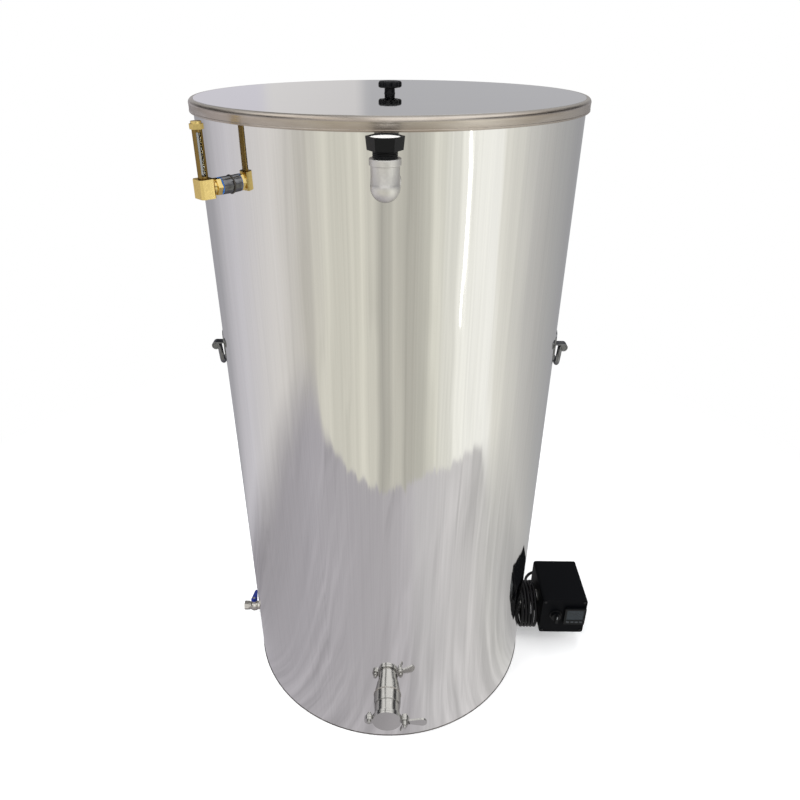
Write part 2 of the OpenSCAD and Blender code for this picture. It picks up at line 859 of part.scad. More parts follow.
module drain_ball() {
    stem_top = drain_bonnet_h + face_gap + drain_lever_t + drain_nut_h;
    color("silver") at_drain_stem() difference() {
        union() {
            sphere(d = drain_ball_d);
            cylinder(h = stem_top, d = drain_stem_d);
        }
        translate([-drain_ball_d, 0, 0]) rotate([0, 90, 0]) cylinder(h = 2 * drain_ball_d, d = drain_bore_d);
    }
}

module drain_lever() {
    tip_x = drain_tip_w / 2 - drain_lever_l;
    color("royalblue") at_drain_stem() translate([0, 0, drain_bonnet_h + face_gap]) difference() {
        union() {
            cylinder(h = drain_lever_t, d = drain_lever_w);
            translate([tip_x, 0, 0]) cylinder(h = drain_lever_t, d = drain_tip_w);
            linear_extrude(drain_lever_t) polygon([
                [0, -drain_lever_w / 2], [0, drain_lever_w / 2],
                [tip_x, drain_tip_w / 2], [tip_x, -drain_tip_w / 2]
            ]);
        }
        translate([0, 0, -over]) cylinder(h = drain_lever_t + 2 * over, d = drain_stem_d + 2 * run_fit);
    }
}

module drain_lever_nut() {
    color("silver") at_drain_stem() translate([0, 0, drain_bonnet_h + face_gap + drain_lever_t]) difference() {
        cylinder(h = drain_nut_h, r = drain_nut_af / sqrt(3), $fn = 6);
        translate([0, 0, -over]) cylinder(h = drain_nut_h + 2 * over, d = drain_stem_d + 2 * run_fit);
    }
}

// Handles

module at_hinge(angle) {
    face_of_wall(angle, handle_z) translate([0, -tank_r - hinge_out, 0]) children();
}

module handle_plate(angle) {
    below = handle_h * handle_below_share;
    knuckle_d = bail_rod_d + 2 * knuckle_wall;
    difference() {
        union() {
            intersection() {
                translate([0, 0, handle_z]) round_of_tank(tank_r + handle_t, handle_h);
                face_of_wall(angle, handle_z) translate([-handle_w / 2, -tank_r - root, -below])
                    rounded_bar(handle_w, 2 * root, handle_h, handle_corner_r);
            }
            at_hinge(angle) for (x = [-knuckle_out, knuckle_in]) translate([x, 0, 0]) {
                rotate([0, 90, 0]) cylinder(h = knuckle_l, d = knuckle_d);
                translate([0, 0, knuckle_d / 2 - handle_t]) cube([knuckle_l, hinge_out + root, handle_t]);
            }
        }
        translate([0, 0, handle_z]) round_of_tank(tank_r + weld_gap, handle_h);
        at_hinge(angle) translate([-handle_w / 2, 0, 0]) rotate([0, 90, 0])
            cylinder(h = handle_w, d = bail_rod_d + 2 * run_fit);
    }
}

module bail_bend(x, z, turn) {
    translate([x, 0, z]) rotate([90, 0, 0]) rotate([0, 0, turn]) rotate_extrude(angle = 90)
        translate([bail_bend_r, 0]) circle(d = bail_rod_d);
}

module half_bail() {
    straight = bail_drop - 2 * bail_bend_r;
    grip_x = bail_leg_x - bail_bend_r;
    translate([bail_pin_in, 0, 0]) rotate([0, 90, 0]) cylinder(h = knuckle_out - bail_pin_in, d = bail_rod_d);
    bail_bend(bail_pin_in, -bail_bend_r, 90);
    translate([bail_leg_x, 0, -bail_bend_r - straight]) cylinder(h = straight, d = bail_rod_d);
    bail_bend(grip_x, -bail_bend_r - straight, -90);
    translate([0, 0, -bail_drop]) rotate([0, 90, 0]) cylinder(h = grip_x, d = bail_rod_d);
}

module handle_bail(angle) {
    at_hinge(angle) rotate([-bail_lean, 0, 0]) {
        half_bail();
        mirror([1, 0, 0]) half_bail();
    }
}

module left_handle_plate() {
    color("silver") handle_plate(-90);
}

module left_handle_bail() {
    color("gainsboro") handle_bail(-90);
}

module right_handle_plate() {
    color("silver") handle_plate(90);
}

module right_handle_bail() {
    color("gainsboro") handle_bail(90);
}

// Heater

module at_heater() {
    face_of_wall(90, heater_z) children();
}

module heater_coupling() {
    color("silver") at_heater() wall_stub(heater_coupling_l, heater_coupling_d, heater_thread_d);
}

module heater_plug() {
    color("gray") at_heater() difference() {
        union() {
            reach(heater_plug_in, heater_hex_at + over, heater_thread_d - 2 * heater_fit);
            reach_hex(heater_hex_at, heater_neck_at, heater_hex_af);
            reach(heater_neck_at - over, box_at + box_t + heater_tail_l, heater_neck_d);
        }
        translate([0, 0, -probe_drop])
            reach(heater_plug_in - over, box_at + box_t + heater_tail_l + over, probe_d + 2 * run_fit);
    }
}

module heating_element() {
    bend_at = heater_plug_in - element_l + element_half;
    color("dimgray") at_heater() {
        for (x = [-element_half, element_half]) translate([x, 0, 0]) reach(bend_at, heater_plug_in, element_d);
        translate([0, -bend_at, 0]) rotate_extrude(angle = 180)
            translate([element_half, 0]) circle(d = element_d);
    }
}

module temperature_probe() {
    color("silver") at_heater() translate([0, 0, -probe_drop])
        reach(heater_plug_in - probe_l, box_at + box_t + heater_tail_l + probe_tail_l, probe_d);
}

// Control box

module at_box() {
    translate([box_at, 0, box_bottom]) children();
}

module on_panel(x, up) {
    translate([box_at + x, box_front, box_bottom + up]) rotate([90, 0, 0]) children();
}

module at_panel_screws() {
    for (x = [boss_inset, box_w - boss_inset], up = [boss_inset, box_h - boss_inset]) on_panel(x, up) children();
}

module control_box() {
    color("dimgray") difference() {
        union() {
            difference() {
                at_box() translate([0, box_front + panel_t, 0]) rounded_bar(box_w, box_d - panel_t, box_h, box_r);
                at_box() translate([box_t, box_front, box_t])
                    rounded_bar(box_w - 2 * box_t, box_d - box_t, box_h - 2 * box_t, box_r - box_t);
            }
            at_panel_screws() translate([0, 0, -panel_t - boss_l]) cylinder(h = boss_l, d = boss_d);
        }
        at_panel_screws() translate([0, 0, -panel_t - boss_l - over])
            cylinder(h = boss_l + 2 * over, d = panel_screw_d + 2 * run_fit);
        at_heater() reach(box_at - over, box_at + box_t + over, heater_neck_d + 2 * run_fit);
        translate([gland_mouth[0], box_back - box_t - over, gland_mouth[2]]) rotate([-90, 0, 0])
            cylinder(h = box_t + 2 * over, d = gland_stub_d + 2 * run_fit);
    }
}

module control_panel() {
    opening = controller_body_w + 2 * key_gap;
    color("black") difference() {
        at_box() translate([0, box_front, 0]) rounded_bar(box_w, panel_t, box_h, box_r);
        on_panel(controller_x, controller_up) translate([-opening / 2, -opening / 2, -panel_t - over])
            cube([opening, opening, panel_t + 2 * over]);
        on_panel(selector_x, selector_up) translate([0, 0, -panel_t - over])
            cylinder(h = panel_t + 2 * over, d = selector_barrel_d + 2 * run_fit);
        at_panel_screws() translate([0, 0, -panel_t - over])
            cylinder(h = panel_t + 2 * over, d = panel_screw_d + 2 * run_fit);
    }
}

module panel_screws() {
    color("dimgray") at_panel_screws() {
        cylinder(h = panel_head_t, d = panel_head_d);
        translate([0, 0, -panel_screw_l]) cylinder(h = panel_screw_l + panel_head_t / 2, d = panel_screw_d);
    }
}

module on_controller() {
    on_panel(controller_x, controller_up) children();
}

module at_key(i) {
    on_controller() translate([(i - 2.5) * key_step, -key_drop, bezel_t]) children();
}

module controller() {
    color("darkslategray") difference() {
        on_controller() {
            translate([-bezel_w / 2, -bezel_w / 2, 0]) cube([bezel_w, bezel_w, bezel_t]);
            translate([-controller_body_w / 2, -controller_body_w / 2, -panel_t - controller_body_l])
                cube([controller_body_w, controller_body_w, panel_t + controller_body_l + over]);
        }
        on_controller() translate([-window_w / 2, window_up - window_h / 2, bezel_t - window_recess])
            cube([window_w, window_h, window_recess + over]);
        for (i = [1 : 4]) at_key(i) translate([-key_w / 2 - key_gap, -key_h / 2 - key_gap, -key_well])
            cube([key_w + 2 * key_gap, key_h + 2 * key_gap, key_well + over]);
    }
}

module display_window() {
    color("lightslategray") on_controller()
        translate([weld_gap - window_w / 2, window_up + weld_gap - window_h / 2, bezel_t - window_recess])
            cube([window_w - 2 * weld_gap, window_h - 2 * weld_gap, window_t]);
}

module key(i) {
    color("gray") at_key(i) translate([-key_w / 2, -key_h / 2, key_travel + key_gap - key_well])
        cube([key_w, key_h, key_well - key_travel - key_gap + key_proud]);
}

module selector_switch() {
    color("black") on_panel(selector_x, selector_up) difference() {
        union() {
            cylinder(h = selector_rim_t, d = selector_rim_d);
            translate([0, 0, -panel_t - over]) cylinder(h = panel_t + 2 * over, d = selector_barrel_d);
            translate([-selector_body_w / 2, -selector_body_w / 2, -panel_t - selector_body_l])
                cube([selector_body_w, selector_body_w, selector_body_l]);
        }
        translate([0, 0, selector_rim_t - selector_shaft_l - face_gap])
            cylinder(h = selector_shaft_l + over, d = selector_shaft_d + 2 * run_fit);
    }
}

module selector_knob() {
    color("dimgray") on_panel(selector_x, selector_up) translate([0, 0, selector_rim_t + face_gap]) {
        cylinder(h = selector_h * selector_grip_share, d = selector_d);
        translate([0, 0, -selector_shaft_l]) cylinder(h = selector_shaft_l + over, d = selector_shaft_d);
        intersection() {
            cylinder(h = selector_h, d = selector_d);
            translate([-selector_grip_w / 2, -selector_d, 0]) cube([selector_grip_w, 2 * selector_d, selector_h]);
        }
    }
}

// Power cord

function unit(v) = v / norm(v);

// A point on the smooth curve through b and c, at the share t of the way from b to c
function between(a, b, c, d, t) =
    ((2 * b) + (c - a) * t + (2 * a - 5 * b + 4 * c - d) * t * t + (3 * b - a - 3 * c + d) * t * t * t) / 2;

function smooth(p) = let(last = len(p) - 1) concat(
    [for (i = [0 : last - 1], s = [0 : route_steps - 1])
        between(p[max(i - 1, 0)], p[i], p[i + 1], p[min(i + 2, last)], s / route_steps)],
    [p[last]]
);

function heading(p, i, first, final) =
    i == 0 ? first : i == len(p) - 1 ? final : unit(p[i + 1] - p[i - 1]);

function squared(n, t) = unit(n - (n * t) * t);

// One side direction for each point, carried along the route without twisting
function sides_along(p, first, final) = [
    for (i = 0, n = squared([1, 0, 0.01], first); i < len(p);
        i = i + 1, n = i < len(p) ? squared(n, heading(p, i, first, final)) : n) n
];

module tube(p, first, final) {
    n = sides_along(p, first, final);
    last = len(p) - 1;
    points = [
        for (i = [0 : last], k = [0 : cord_sides - 1])
            let(t = heading(p, i, first, final), a = 360 * k / cord_sides)
                p[i] + cord_r * (cos(a) * n[i] + sin(a) * cross(t, n[i]))
    ];
    skin = [
        for (i = [0 : last - 1], k = [0 : cord_sides - 1], half = [0, 1])
            let(j = (k + 1) % cord_sides, low = i * cord_sides, high = low + cord_sides)
                half == 0 ? [low + k, high + k, high + j] : [low + k, high + j, low + j]
    ];
    ends = [
        for (k = [1 : cord_sides - 2], far = [0, 1])
            let(low = far * last * cord_sides)
                far == 0 ? [low, low + k, low + k + 1] : [low, low + k + 1, low + k]
    ];
    polyhedron(points, concat(skin, ends));
}

coil_points = [
    for (i = [0 : coil_turns * coil_rings])
        let(turn = 360 * i / coil_rings)
            [coil_x - coil_pitch * turn / 360, -coil_r * sin(turn), coil_z - coil_r * cos(turn)]
];
tail_route = concat([coil_end], tail_points, [plug_at]);
coil_route = concat(coil_points, [for (i = [1 : len(smooth(tail_route)) - 1]) smooth(tail_route)[i]]);
coil_self_gap = min([
    for (i = [0 : len(coil_route) - 1])
        for (j = [i + coil_rings / 2 : 1 : len(coil_route) - 1]) norm(coil_route[i] - coil_route[j])
]) - cord_d;
echo(coil_self_gap = coil_self_gap);

module cord_gland() {
    color("black") translate([gland_mouth[0], box_back, gland_mouth[2]]) rotate([-90, 0, 0]) {
        cylinder(h = gland_hex_l, r = gland_hex_af / sqrt(3), $fn = 6);
        translate([0, 0, gland_hex_l]) cylinder(h = gland_cone_l, d1 = gland_cone_d, d2 = gland_mouth_d);
        translate([0, 0, -box_t - gland_stub_l])
            cylinder(h = box_t + gland_stub_l + over, d = gland_stub_d);
    }
}

module cord_lead() {
    color("black") tube(smooth(concat([gland_mouth], lead_points, [coil_start])), [0, 1, 0], [0, -1, 0]);
}

module cord_coil() {
    color("black") tube(coil_route, [0, -1, 0], [0, 0, -1]);
}

module at_plug() {
    translate(plug_at - [0, 0, relief_l]) children();
}

module power_plug() {
    color("black") at_plug() {
        cylinder(h = relief_l, d1 = relief_d, d2 = gland_mouth_d);
        translate([0, 0, -plug_h / 2]) chamfered_block(plug_w, plug_depth, plug_h, plug_chamfer);
    }
}

module plug_blades() {
    color("gold") at_plug() translate([0, 0, -plug_h]) {
        for (x = [-blade_half, blade_half])
            translate([x - blade_t / 2, -blade_front - blade_w / 2, -blade_l]) cube([blade_t, blade_w, blade_l]);
        translate([0, ground_back, -ground_l]) cylinder(h = ground_l, d = ground_d);
    }
}

outer_wall();
base_plate();
vessel_wall();
vessel_bottom();
vessel_posts();
top_ring();
lid_panel();
lid_band();
lid_knob();
lid_knob_screw();
outlet_pipe();
outlet_collar();
gate_body();
gate_seal();
gate_plate();
gate_pivot_screw();
gate_pivot_nut();
gate_clamp_bolt();
gate_wing_nut();
fill_nipple();
fill_elbow();
fill_plug();
fill_vent_disc();
sight_coupling();
sight_seal_ring();
sight_nipple();
sight_elbow();
sight_guard();
sight_glass();
sight_cap();
drain_coupling();
drain_valve_body();
drain_valve_end();
drain_ball();
drain_lever();
drain_lever_nut();
left_handle_plate();
left_handle_bail();
right_handle_plate();
right_handle_bail();
heater_coupling();
heater_plug();
heating_element();
temperature_probe();
control_box();
control_panel();
panel_screws();
controller();
display_window();
key(1);  // key_1
key(2);  // key_2
key(3);  // key_3
key(4);  // key_4
selector_switch();
selector_knob();
cord_gland();
cord_lead();
cord_coil();
power_plug();
plug_blades();
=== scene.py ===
"""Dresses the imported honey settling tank: finishes, worked edges, threads, welds, cord and studio."""

import json
from math import atan2, ceil, cos, e, pi, radians, sin, sqrt, tau

import bmesh
import bpy
from bpy.props import FloatProperty, FloatVectorProperty, PointerProperty
from mathutils import Matrix, Vector


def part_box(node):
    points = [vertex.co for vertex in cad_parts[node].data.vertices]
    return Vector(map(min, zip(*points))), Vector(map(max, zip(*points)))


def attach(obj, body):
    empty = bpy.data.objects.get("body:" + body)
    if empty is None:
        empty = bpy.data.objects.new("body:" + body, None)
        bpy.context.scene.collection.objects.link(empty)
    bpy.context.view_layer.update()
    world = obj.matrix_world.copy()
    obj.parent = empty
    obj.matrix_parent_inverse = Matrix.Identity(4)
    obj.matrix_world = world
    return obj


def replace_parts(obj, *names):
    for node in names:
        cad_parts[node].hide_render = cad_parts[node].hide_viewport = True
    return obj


bl_info = {
    "name": "Honey settling tank",
    "version": (1, 0, 0),
    "blender": (4, 5, 0),
    "location": "View3D > Sidebar > Tank",
    "description": "Builds the looks of a jacketed honey settling tank round its packed model",
    "category": "Object",
}

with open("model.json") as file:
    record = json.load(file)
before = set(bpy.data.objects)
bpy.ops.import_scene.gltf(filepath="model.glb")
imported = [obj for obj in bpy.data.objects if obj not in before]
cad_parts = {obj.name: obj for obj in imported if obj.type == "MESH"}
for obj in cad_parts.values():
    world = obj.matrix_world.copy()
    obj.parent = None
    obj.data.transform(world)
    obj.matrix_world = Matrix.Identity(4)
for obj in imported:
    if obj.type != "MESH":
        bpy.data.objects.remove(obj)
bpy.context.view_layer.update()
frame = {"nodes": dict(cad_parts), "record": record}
MM = 0.001
NODES = frame["nodes"]
BODIES = {node: body for body, nodes in frame["record"]["behaviour"]["bodies"].items() for node in nodes}

# Angle above which an edge is worked round, and above which shading breaks
EDGE_ANGLE, SHARP_ANGLE = radians(32), radians(38)
# Distance over which loose corners join, and angle up to which triangles count as one flat face
MERGE, FLAT_ANGLE = 1e-6, radians(0.3)
# Difference in radius up to which a face counts as lying on a cylinder, and how squarely it has to face outwards
ROUND_OFF, FACING = 2e-5, 0.97


def linear(code):
    """The linear colour of an sRGB hex value."""
    parts = [int(code[i:i + 2], 16) / 255 for i in (1, 3, 5)]
    return tuple(p / 12.92 if p <= 0.04045 else ((p + 0.055) / 1.055) ** 2.4 for p in parts)


def middle(node):
    """The centre of a node's box."""
    low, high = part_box(node)
    return (low + high) / 2


# Settings


def length(name, description, default, most):
    """A size in metres that a user may change."""
    return FloatProperty(name=name, description=description, default=default, min=0, max=most,
                         subtype="DISTANCE", unit="LENGTH", precision=5)


def colour(name, description, code):
    """A colour that a user may change, from its hex value."""
    return FloatVectorProperty(name=name, description=description, default=linear(code), size=3,
                               min=0, max=1, subtype="COLOR")


class TankSizes(bpy.types.PropertyGroup):
    """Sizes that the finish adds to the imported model"""
    sheet_edge: length("Sheet edge", "Rounding of the edges of sheet and plate", 0.0004, 0.001)
    turned_edge: length("Turned edge", "Rounding of the edges of turned and pressed fittings", 0.0006, 0.002)
    cast_edge: length("Cast edge", "Rounding of the edges of castings", 0.0012, 0.003)
    moulded_edge: length("Moulded edge", "Rounding of the edges of moulded plastic", 0.0009, 0.002)
    weld_bead: length("Weld bead", "Width of the weld beads round the wall fittings", 0.0022, 0.006)
    seam_width: length("Seam width", "Width of the ground seam down the back of the wall", 0.005, 0.01)
    pipe_pitch: length("Pipe thread pitch", "Pitch of the filler's thread", 0.0018, 0.003)
    bolt_pitch: length("Bolt thread pitch", "Pitch of the gate bolts' threads", 0.001, 0.002)
    sheet_wave: length("Sheet wave", "Height of the waves in the polished sheet", 0.0009, 0.003)


class TankColours(bpy.types.PropertyGroup):
    """Colours of the finishes"""
    polished: colour("Polished steel", "Mirror sheet of the wall and the lid", "#E3E2E0")
    satin: colour("Bright steel", "Turned and welded steel", "#CAC9C6")
    cast: colour("Cast steel", "Cast fittings", "#E6E4E0")
    ground: colour("Ground steel", "Band of the lid", "#DAD4CC")
    # Heat tint, which on the lid band's shoulder also serves as painted shade
    tint: colour("Heat tint", "Brown tint along the lid's band", "#AFA294")
    brass: colour("Brass", "Gauge fittings", "#EED48C")
    tarnish: colour("Tarnished brass", "Guard tube of the gauge", "#8E7646")
    nickel: colour("Nickel", "Drain valve", "#D2CEC6")
    plastic: colour("Black plastic", "Knob, filler plug and controller", "#060709")
    case: colour("Box plastic", "Control box and panel", "#07080B")
    lever: colour("Lever blue", "Dipped lever of the drain valve", "#172B80")
    seal: colour("Seal blue", "Seal ring of the gauge", "#2E7BD6")
    cord: colour("Cord", "Jacket of the cord", "#070709")
    disc: colour("White disc", "Disc in the top of the filler plug", "#F3F2EE")


# Finishes


def add(tree, kind, values=None, links=None, **settings):
    """Adds one node with its settings, its socket values and its links, from sockets or from nodes' first outputs."""
    node = tree.nodes.new(kind)
    for key, value in settings.items():
        setattr(node, key, value)
    for key, value in (values or {}).items():
        node.inputs[key].default_value = value
    for key, source in (links or {}).items():
        socket = source.outputs[0] if isinstance(source, bpy.types.Node) else source
        tree.links.new(socket, node.inputs[key])
    return node


def shade(rgb, share=1):
    """A colour, or one made darker or lighter, ready for a socket."""
    return (*(min(1, c * share) for c in rgb), 1)


def grain(tree, size, **values):
    """Noise with marks of a size in millimetres, the same or along X, Y and Z, and the coordinates it lies on."""
    sizes = size if isinstance(size, tuple) else (size,) * 3
    coords = add(tree, "ShaderNodeTexCoord").outputs["Object"]
    place = add(tree, "ShaderNodeMapping", {"Scale": [1 / (s * MM) for s in sizes]}, {"Vector": coords})
    return add(tree, "ShaderNodeTexNoise", {"Scale": 1, **values}, {"Vector": place}), coords


# Values that most of a noise lies between, and those between which the heat's bloom grows
NOISE_LOW, NOISE_HIGH = 0.3, 0.7
BLOOM_LOW, BLOOM_HIGH = 0.36, 0.66


def surface(name, rgb, spread, rough, size, relief, sockets):
    """A finish whose colour, gloss and relief vary over marks of a size in millimetres."""
    material = bpy.data.materials.new(name)
    material.use_nodes = True
    tree = material.node_tree
    shader = tree.nodes["Principled BSDF"]
    for key, value in sockets.items():
        shader.inputs[key].default_value = value
    marks, _ = grain(tree, size, Detail=4, Roughness=0.6)
    share = add(tree, "ShaderNodeMapRange", {"From Min": NOISE_LOW, "From Max": NOISE_HIGH}, {"Value": marks})
    tone = add(tree, "ShaderNodeMix", {6: shade(rgb, 1 - spread), 7: shade(rgb, 1 + spread)}, {0: share},
               data_type="RGBA")
    gloss = add(tree, "ShaderNodeMapRange", {"To Min": rough[0], "To Max": rough[1]}, {"Value": share})
    tree.links.new(tone.outputs[2], shader.inputs["Base Color"])
    tree.links.new(gloss.outputs[0], shader.inputs["Roughness"])
    if relief:
        bump = add(tree, "ShaderNodeBump", {"Distance": relief * MM}, {"Height": share})
        tree.links.new(bump.outputs[0], shader.inputs["Normal"])
    return material


def second_relief(material, size, height, sides=None):
    """Adds a coarser relief under a finish's own marks. It dies away between two distances to the sides."""
    tree = material.node_tree
    normal = tree.nodes["Principled BSDF"].inputs["Normal"]
    waves, coords = grain(tree, size, Detail=1)
    links = {"Height": waves, "Normal": normal.links[0].from_socket}
    if sides:
        across = add(tree, "ShaderNodeSeparateXYZ", links={"Vector": coords}).outputs["X"]
        aside = add(tree, "ShaderNodeMath", links={0: across}, operation="ABSOLUTE")
        ends = {"From Min": sides[1], "From Max": sides[0]}
        links["Strength"] = add(tree, "ShaderNodeMapRange", ends, {"Value": aside})
    bump = add(tree, "ShaderNodeBump", {"Distance": height}, links)
    tree.links.new(bump.outputs[0], normal)


def heat_tint_and_shade(material, rgb, size, least, most, fade=None):
    """Lays a brown bloom over a steel in patches, by shares, up to a height that it fades out over. Where it reaches
    over a lit shoulder it is also painted shade.
    """
    tree = material.node_tree
    base = tree.nodes["Principled BSDF"].inputs["Base Color"]
    bloom, coords = grain(tree, size, Detail=3)
    ends = {"From Min": BLOOM_LOW, "From Max": BLOOM_HIGH, "To Min": least, "To Max": most}
    patch = add(tree, "ShaderNodeMapRange", ends, {"Value": bloom})
    if fade:
        height = add(tree, "ShaderNodeSeparateXYZ", links={"Vector": coords}).outputs["Z"]
        under = add(tree, "ShaderNodeMapRange", {"From Min": fade[1], "From Max": fade[0]}, {"Value": height})
        patch = add(tree, "ShaderNodeMath", links={0: patch, 1: under}, operation="MULTIPLY")
    tone = add(tree, "ShaderNodeMix", {7: shade(rgb)}, {0: patch, 6: base.links[0].from_socket}, data_type="RGBA")
    tree.links.new(tone.outputs[2], base)


# Distances to the sides between which the waves in the wall's sheet die away
WAVES_TO, WAVES_END = 0.22, 0.28


def make_finishes(scene):
    """All the finishes, by a short name."""
    c, wave = scene.tank_colours, scene.tank_sizes.sheet_wave
    # Steel and brass turn darker towards a grazing view
    metal = {"Metallic": 1}
    steel = {"Metallic": 1, "Specular Tint": (0.42, 0.42, 0.43, 1)}
    brass = {"Metallic": 1, "Specular Tint": (0.5, 0.42, 0.3, 1)}
    # Name, colour and its spread, roughness, size of the marks, height of their relief, and the shader's own values
    rows = {
        # Mirror-polished sheet: fine upright buffing lines, and waves that bend what it reflects.
        # Buffing grit is far under a millimetre and is drawn 3 mm wide so that it shows.
        "wall": ("Mirror stainless, buffed upright", c.polished, 0.03, (0.03, 0.08), (3, 3, 500), 0.003, metal),
        "lid": ("Mirror stainless, buffed flat", c.polished, 0.03, (0.015, 0.04), (300, 4, 4), 0.001, metal),
        # The lid's band is ground, not buffed, and the weld's heat left it brown in patches. The brown reaches up over
        # the band's shoulder, where it is also painted shade that dims the shoulder's highlight
        "band": ("Ground stainless, heat tinted, with painted shade", c.ground, 0.08, (0.24, 0.4), (40, 40, 0.8), 0.012, metal),
        # Rolled sheet inside the vessel has a soft upright grain
        "sheet": ("Rolled stainless", c.satin, 0.06, (0.34, 0.46), (1.6, 1.6, 90), 0.004, {"Metallic": 0.5}),
        # Turned steel has fine tool lines and a bright face
        "turned": ("Turned stainless", c.satin, 0.06, (0.15, 0.26), (1.2, 6, 1.2), 0.004, steel),
        # Investment castings keep a pebbled skin after tumbling
        "cast": ("Cast stainless, tumbled", c.cast, 0.05, (0.4, 0.5), 4, 0.01, steel),
        # Oxide leaves steel dull and nearly black, a little cloudy
        "dark": ("Steel, dark oxide", linear("#3C3C3D"), 0.2, (0.35, 0.5), 2, 0.01, metal),
        # Brushed beads shine in places and stay brown in others, unbrushed ones are grey with scale. The unbrushed
        # grey is also dark as painted shadow where the wall's foot meets the floor
        "weld": ("Weld, wire brushed", c.satin, 0.15, (0.25, 0.4), 1, 0.02, metal),
        "foot": ("Weld unbrushed, with painted foot shadow", linear("#625E5A"), 0.2, (0.35, 0.5), (4, 4, 1), 0.02, metal),
        # Forged handles keep dark scale between the places that the tumbler brightened
        "forged": ("Forged stainless, tumbled", linear("#7C7D80"), 0.26, (0.08, 0.2), 7, 0.03, steel),
        # Forged brass has bright faces with darker tarnish in the hollows, and the drawn tube is dull all over
        "brass": ("Brass, forged and turned", c.brass, 0.1, (0.08, 0.2), 3, 0.012, brass),
        "tarnish": ("Brass tube, tarnished", c.tarnish, 0.14, (0.16, 0.3), (2, 2, 12), 0.01, brass),
        # Nickel is warmer than steel, with rubbed and cloudy places
        "nickel": ("Brass, nickel plated", c.nickel, 0.12, (0.14, 0.28), 3, 0.01, steel),
        # Moulded plastics have the fine even grain of an eroded tool
        "plastic": ("Glass-filled nylon, moulded", c.plastic, 0.25, (0.34, 0.5), 0.8, 0.012,
                    {"IOR": 1.53, "Specular IOR Level": 0.22}),
        "case": ("ABS, moulded with a fine grain", c.case, 0.2, (0.42, 0.58), 0.9, 0.03,
                 {"IOR": 1.54, "Specular IOR Level": 0.06}),
        # Rubbers are matt: grey keys, a milky gasket and a strong blue ring
        "key": ("Silicone key", linear("#3B3F42"), 0.1, (0.45, 0.6), 1, 0.01, {"IOR": 1.43}),
        "gasket": ("Silicone rubber, white", linear("#E7E4DC"), 0.04, (0.4, 0.55), 2, 0.01, {"IOR": 1.43}),
        "seal": ("Nitrile rubber, blue", c.seal, 0.1, (0.45, 0.6), 1, 0.01, {}),
        # The window is dark and glossy, and its segments show as a shade darker
        "window": ("Acrylic over an unlit display", linear("#2C3236"), 0.12, (0.14, 0.22), (9, 9, 5), 0,
                   {"IOR": 1.49, "Specular IOR Level": 0.3}),
        "digits": ("Liquid crystal segments", linear("#191D20"), 0.1, (0.2, 0.3), 2, 0, {}),
        # Waxy white
        "disc": ("Polypropylene, moulded", c.disc, 0.02, (0.3, 0.42), 2, 0.01, {"IOR": 1.49}),
        # A thick coat with a soft shine and small runs
        "lever": ("Vinyl, dipped", c.lever, 0.15, (0.3, 0.45), 2, 0.03, {"IOR": 1.53}),
        # Extruded PVC jacket, matt, with the lay of the cores just showing
        "cord": ("PVC cord jacket", c.cord, 0.25, (0.4, 0.55), 3, 0.04, {"IOR": 1.53, "Specular IOR Level": 0.25}),
        # Clear, with faint drawing lines along the tube
        "glass": ("Borosilicate tube", linear("#F4F8F7"), 0.01, (0.01, 0.05), (4, 4, 30), 0,
                  {"IOR": 1.47, "Transmission Weight": 1}),
        # Flat and chalky
        "mark": ("Index paint", linear("#8D8F90"), 0.03, (0.4, 0.5), 1, 0, {}),
    }
    made = {key: surface(*row) for key, row in rows.items()}
    second_relief(made["wall"], (28, 28, 1800), wave, (WAVES_TO, WAVES_END))
    second_relief(made["wall"], (85, 85, 240), 1.6 * wave, (WAVES_TO, WAVES_END))
    second_relief(made["lid"], (260, 420, 260), 0.15 * wave)
    lid_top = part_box("lid_panel")[1].z
    # The tint covers the band up to 3 mm under its top, so on the shoulder it is painted shade as well as heat tint
    heat_tint_and_shade(made["band"], c.tint, (110, 110, 14), 0.45, 0.95, (lid_top - 3 * MM, lid_top + MM))
    heat_tint_and_shade(made["weld"], c.tint, 6, 0.05, 0.7)
    return made


FINISHES = {}


# Meshes


def plain(obj):
    """Turns an object's evaluated result into its plain mesh."""
    graph = bpy.context.evaluated_depsgraph_get()
    mesh = bpy.data.meshes.new_from_object(obj.evaluated_get(graph))
    obj.modifiers.clear()
    obj.data = mesh
    return obj


def put(name, data):
    """An object at the origin, in the scene."""
    obj = bpy.data.objects.new(name, data)
    bpy.context.scene.collection.objects.link(obj)
    return obj


def shade_smooth(mesh):
    """Smooth shading up to the sharp angle."""
    for face in mesh.polygons:
        face.use_smooth = True
    mesh.set_sharp_from_angle(angle=SHARP_ANGLE)


def new_piece(name, bm, finish):
    """An object with a finish, from a bmesh."""
    mesh = bpy.data.meshes.new(name)
    bm.to_mesh(mesh)
    bm.free()
    shade_smooth(mesh)
    mesh.materials.append(FINISHES[finish])
    return put(name, mesh)


def extra(obj, node):
    """An added piece rides on a node's body."""
    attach(obj, BODIES[node])
    return obj


def stands_for(obj, *nodes):
    """A piece goes with the nodes and hides them."""
    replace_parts(extra(obj, nodes[0]), *nodes)
    return obj


def round_edges(obj, width, segments=2):
    """Works the sharp edges of a piece round, and keeps its flat faces flat."""
    if width:
        bevel = obj.modifiers.new("edges", "BEVEL")
        bevel.width = width
        bevel.segments = segments
        bevel.limit_method = "ANGLE"
        bevel.angle_limit = EDGE_ANGLE
        bevel.harden_normals = True
        plain(obj)
    return obj


def copy_of(node):
    """A node's mesh with its loose triangles joined and its flat faces made whole."""
    bm = bmesh.new()
    bm.from_mesh(NODES[node].data)
    bmesh.ops.remove_doubles(bm, verts=bm.verts, dist=MERGE)
    bmesh.ops.dissolve_limit(bm, angle_limit=FLAT_ANGLE, verts=bm.verts, edges=bm.edges)
    return bm


def worked(node, finish, width, segments=2):
    """A node's own shape with its edges worked round."""
    obj = round_edges(new_piece(node + "_look", copy_of(node), finish), width, segments)
    return stands_for(obj, node)


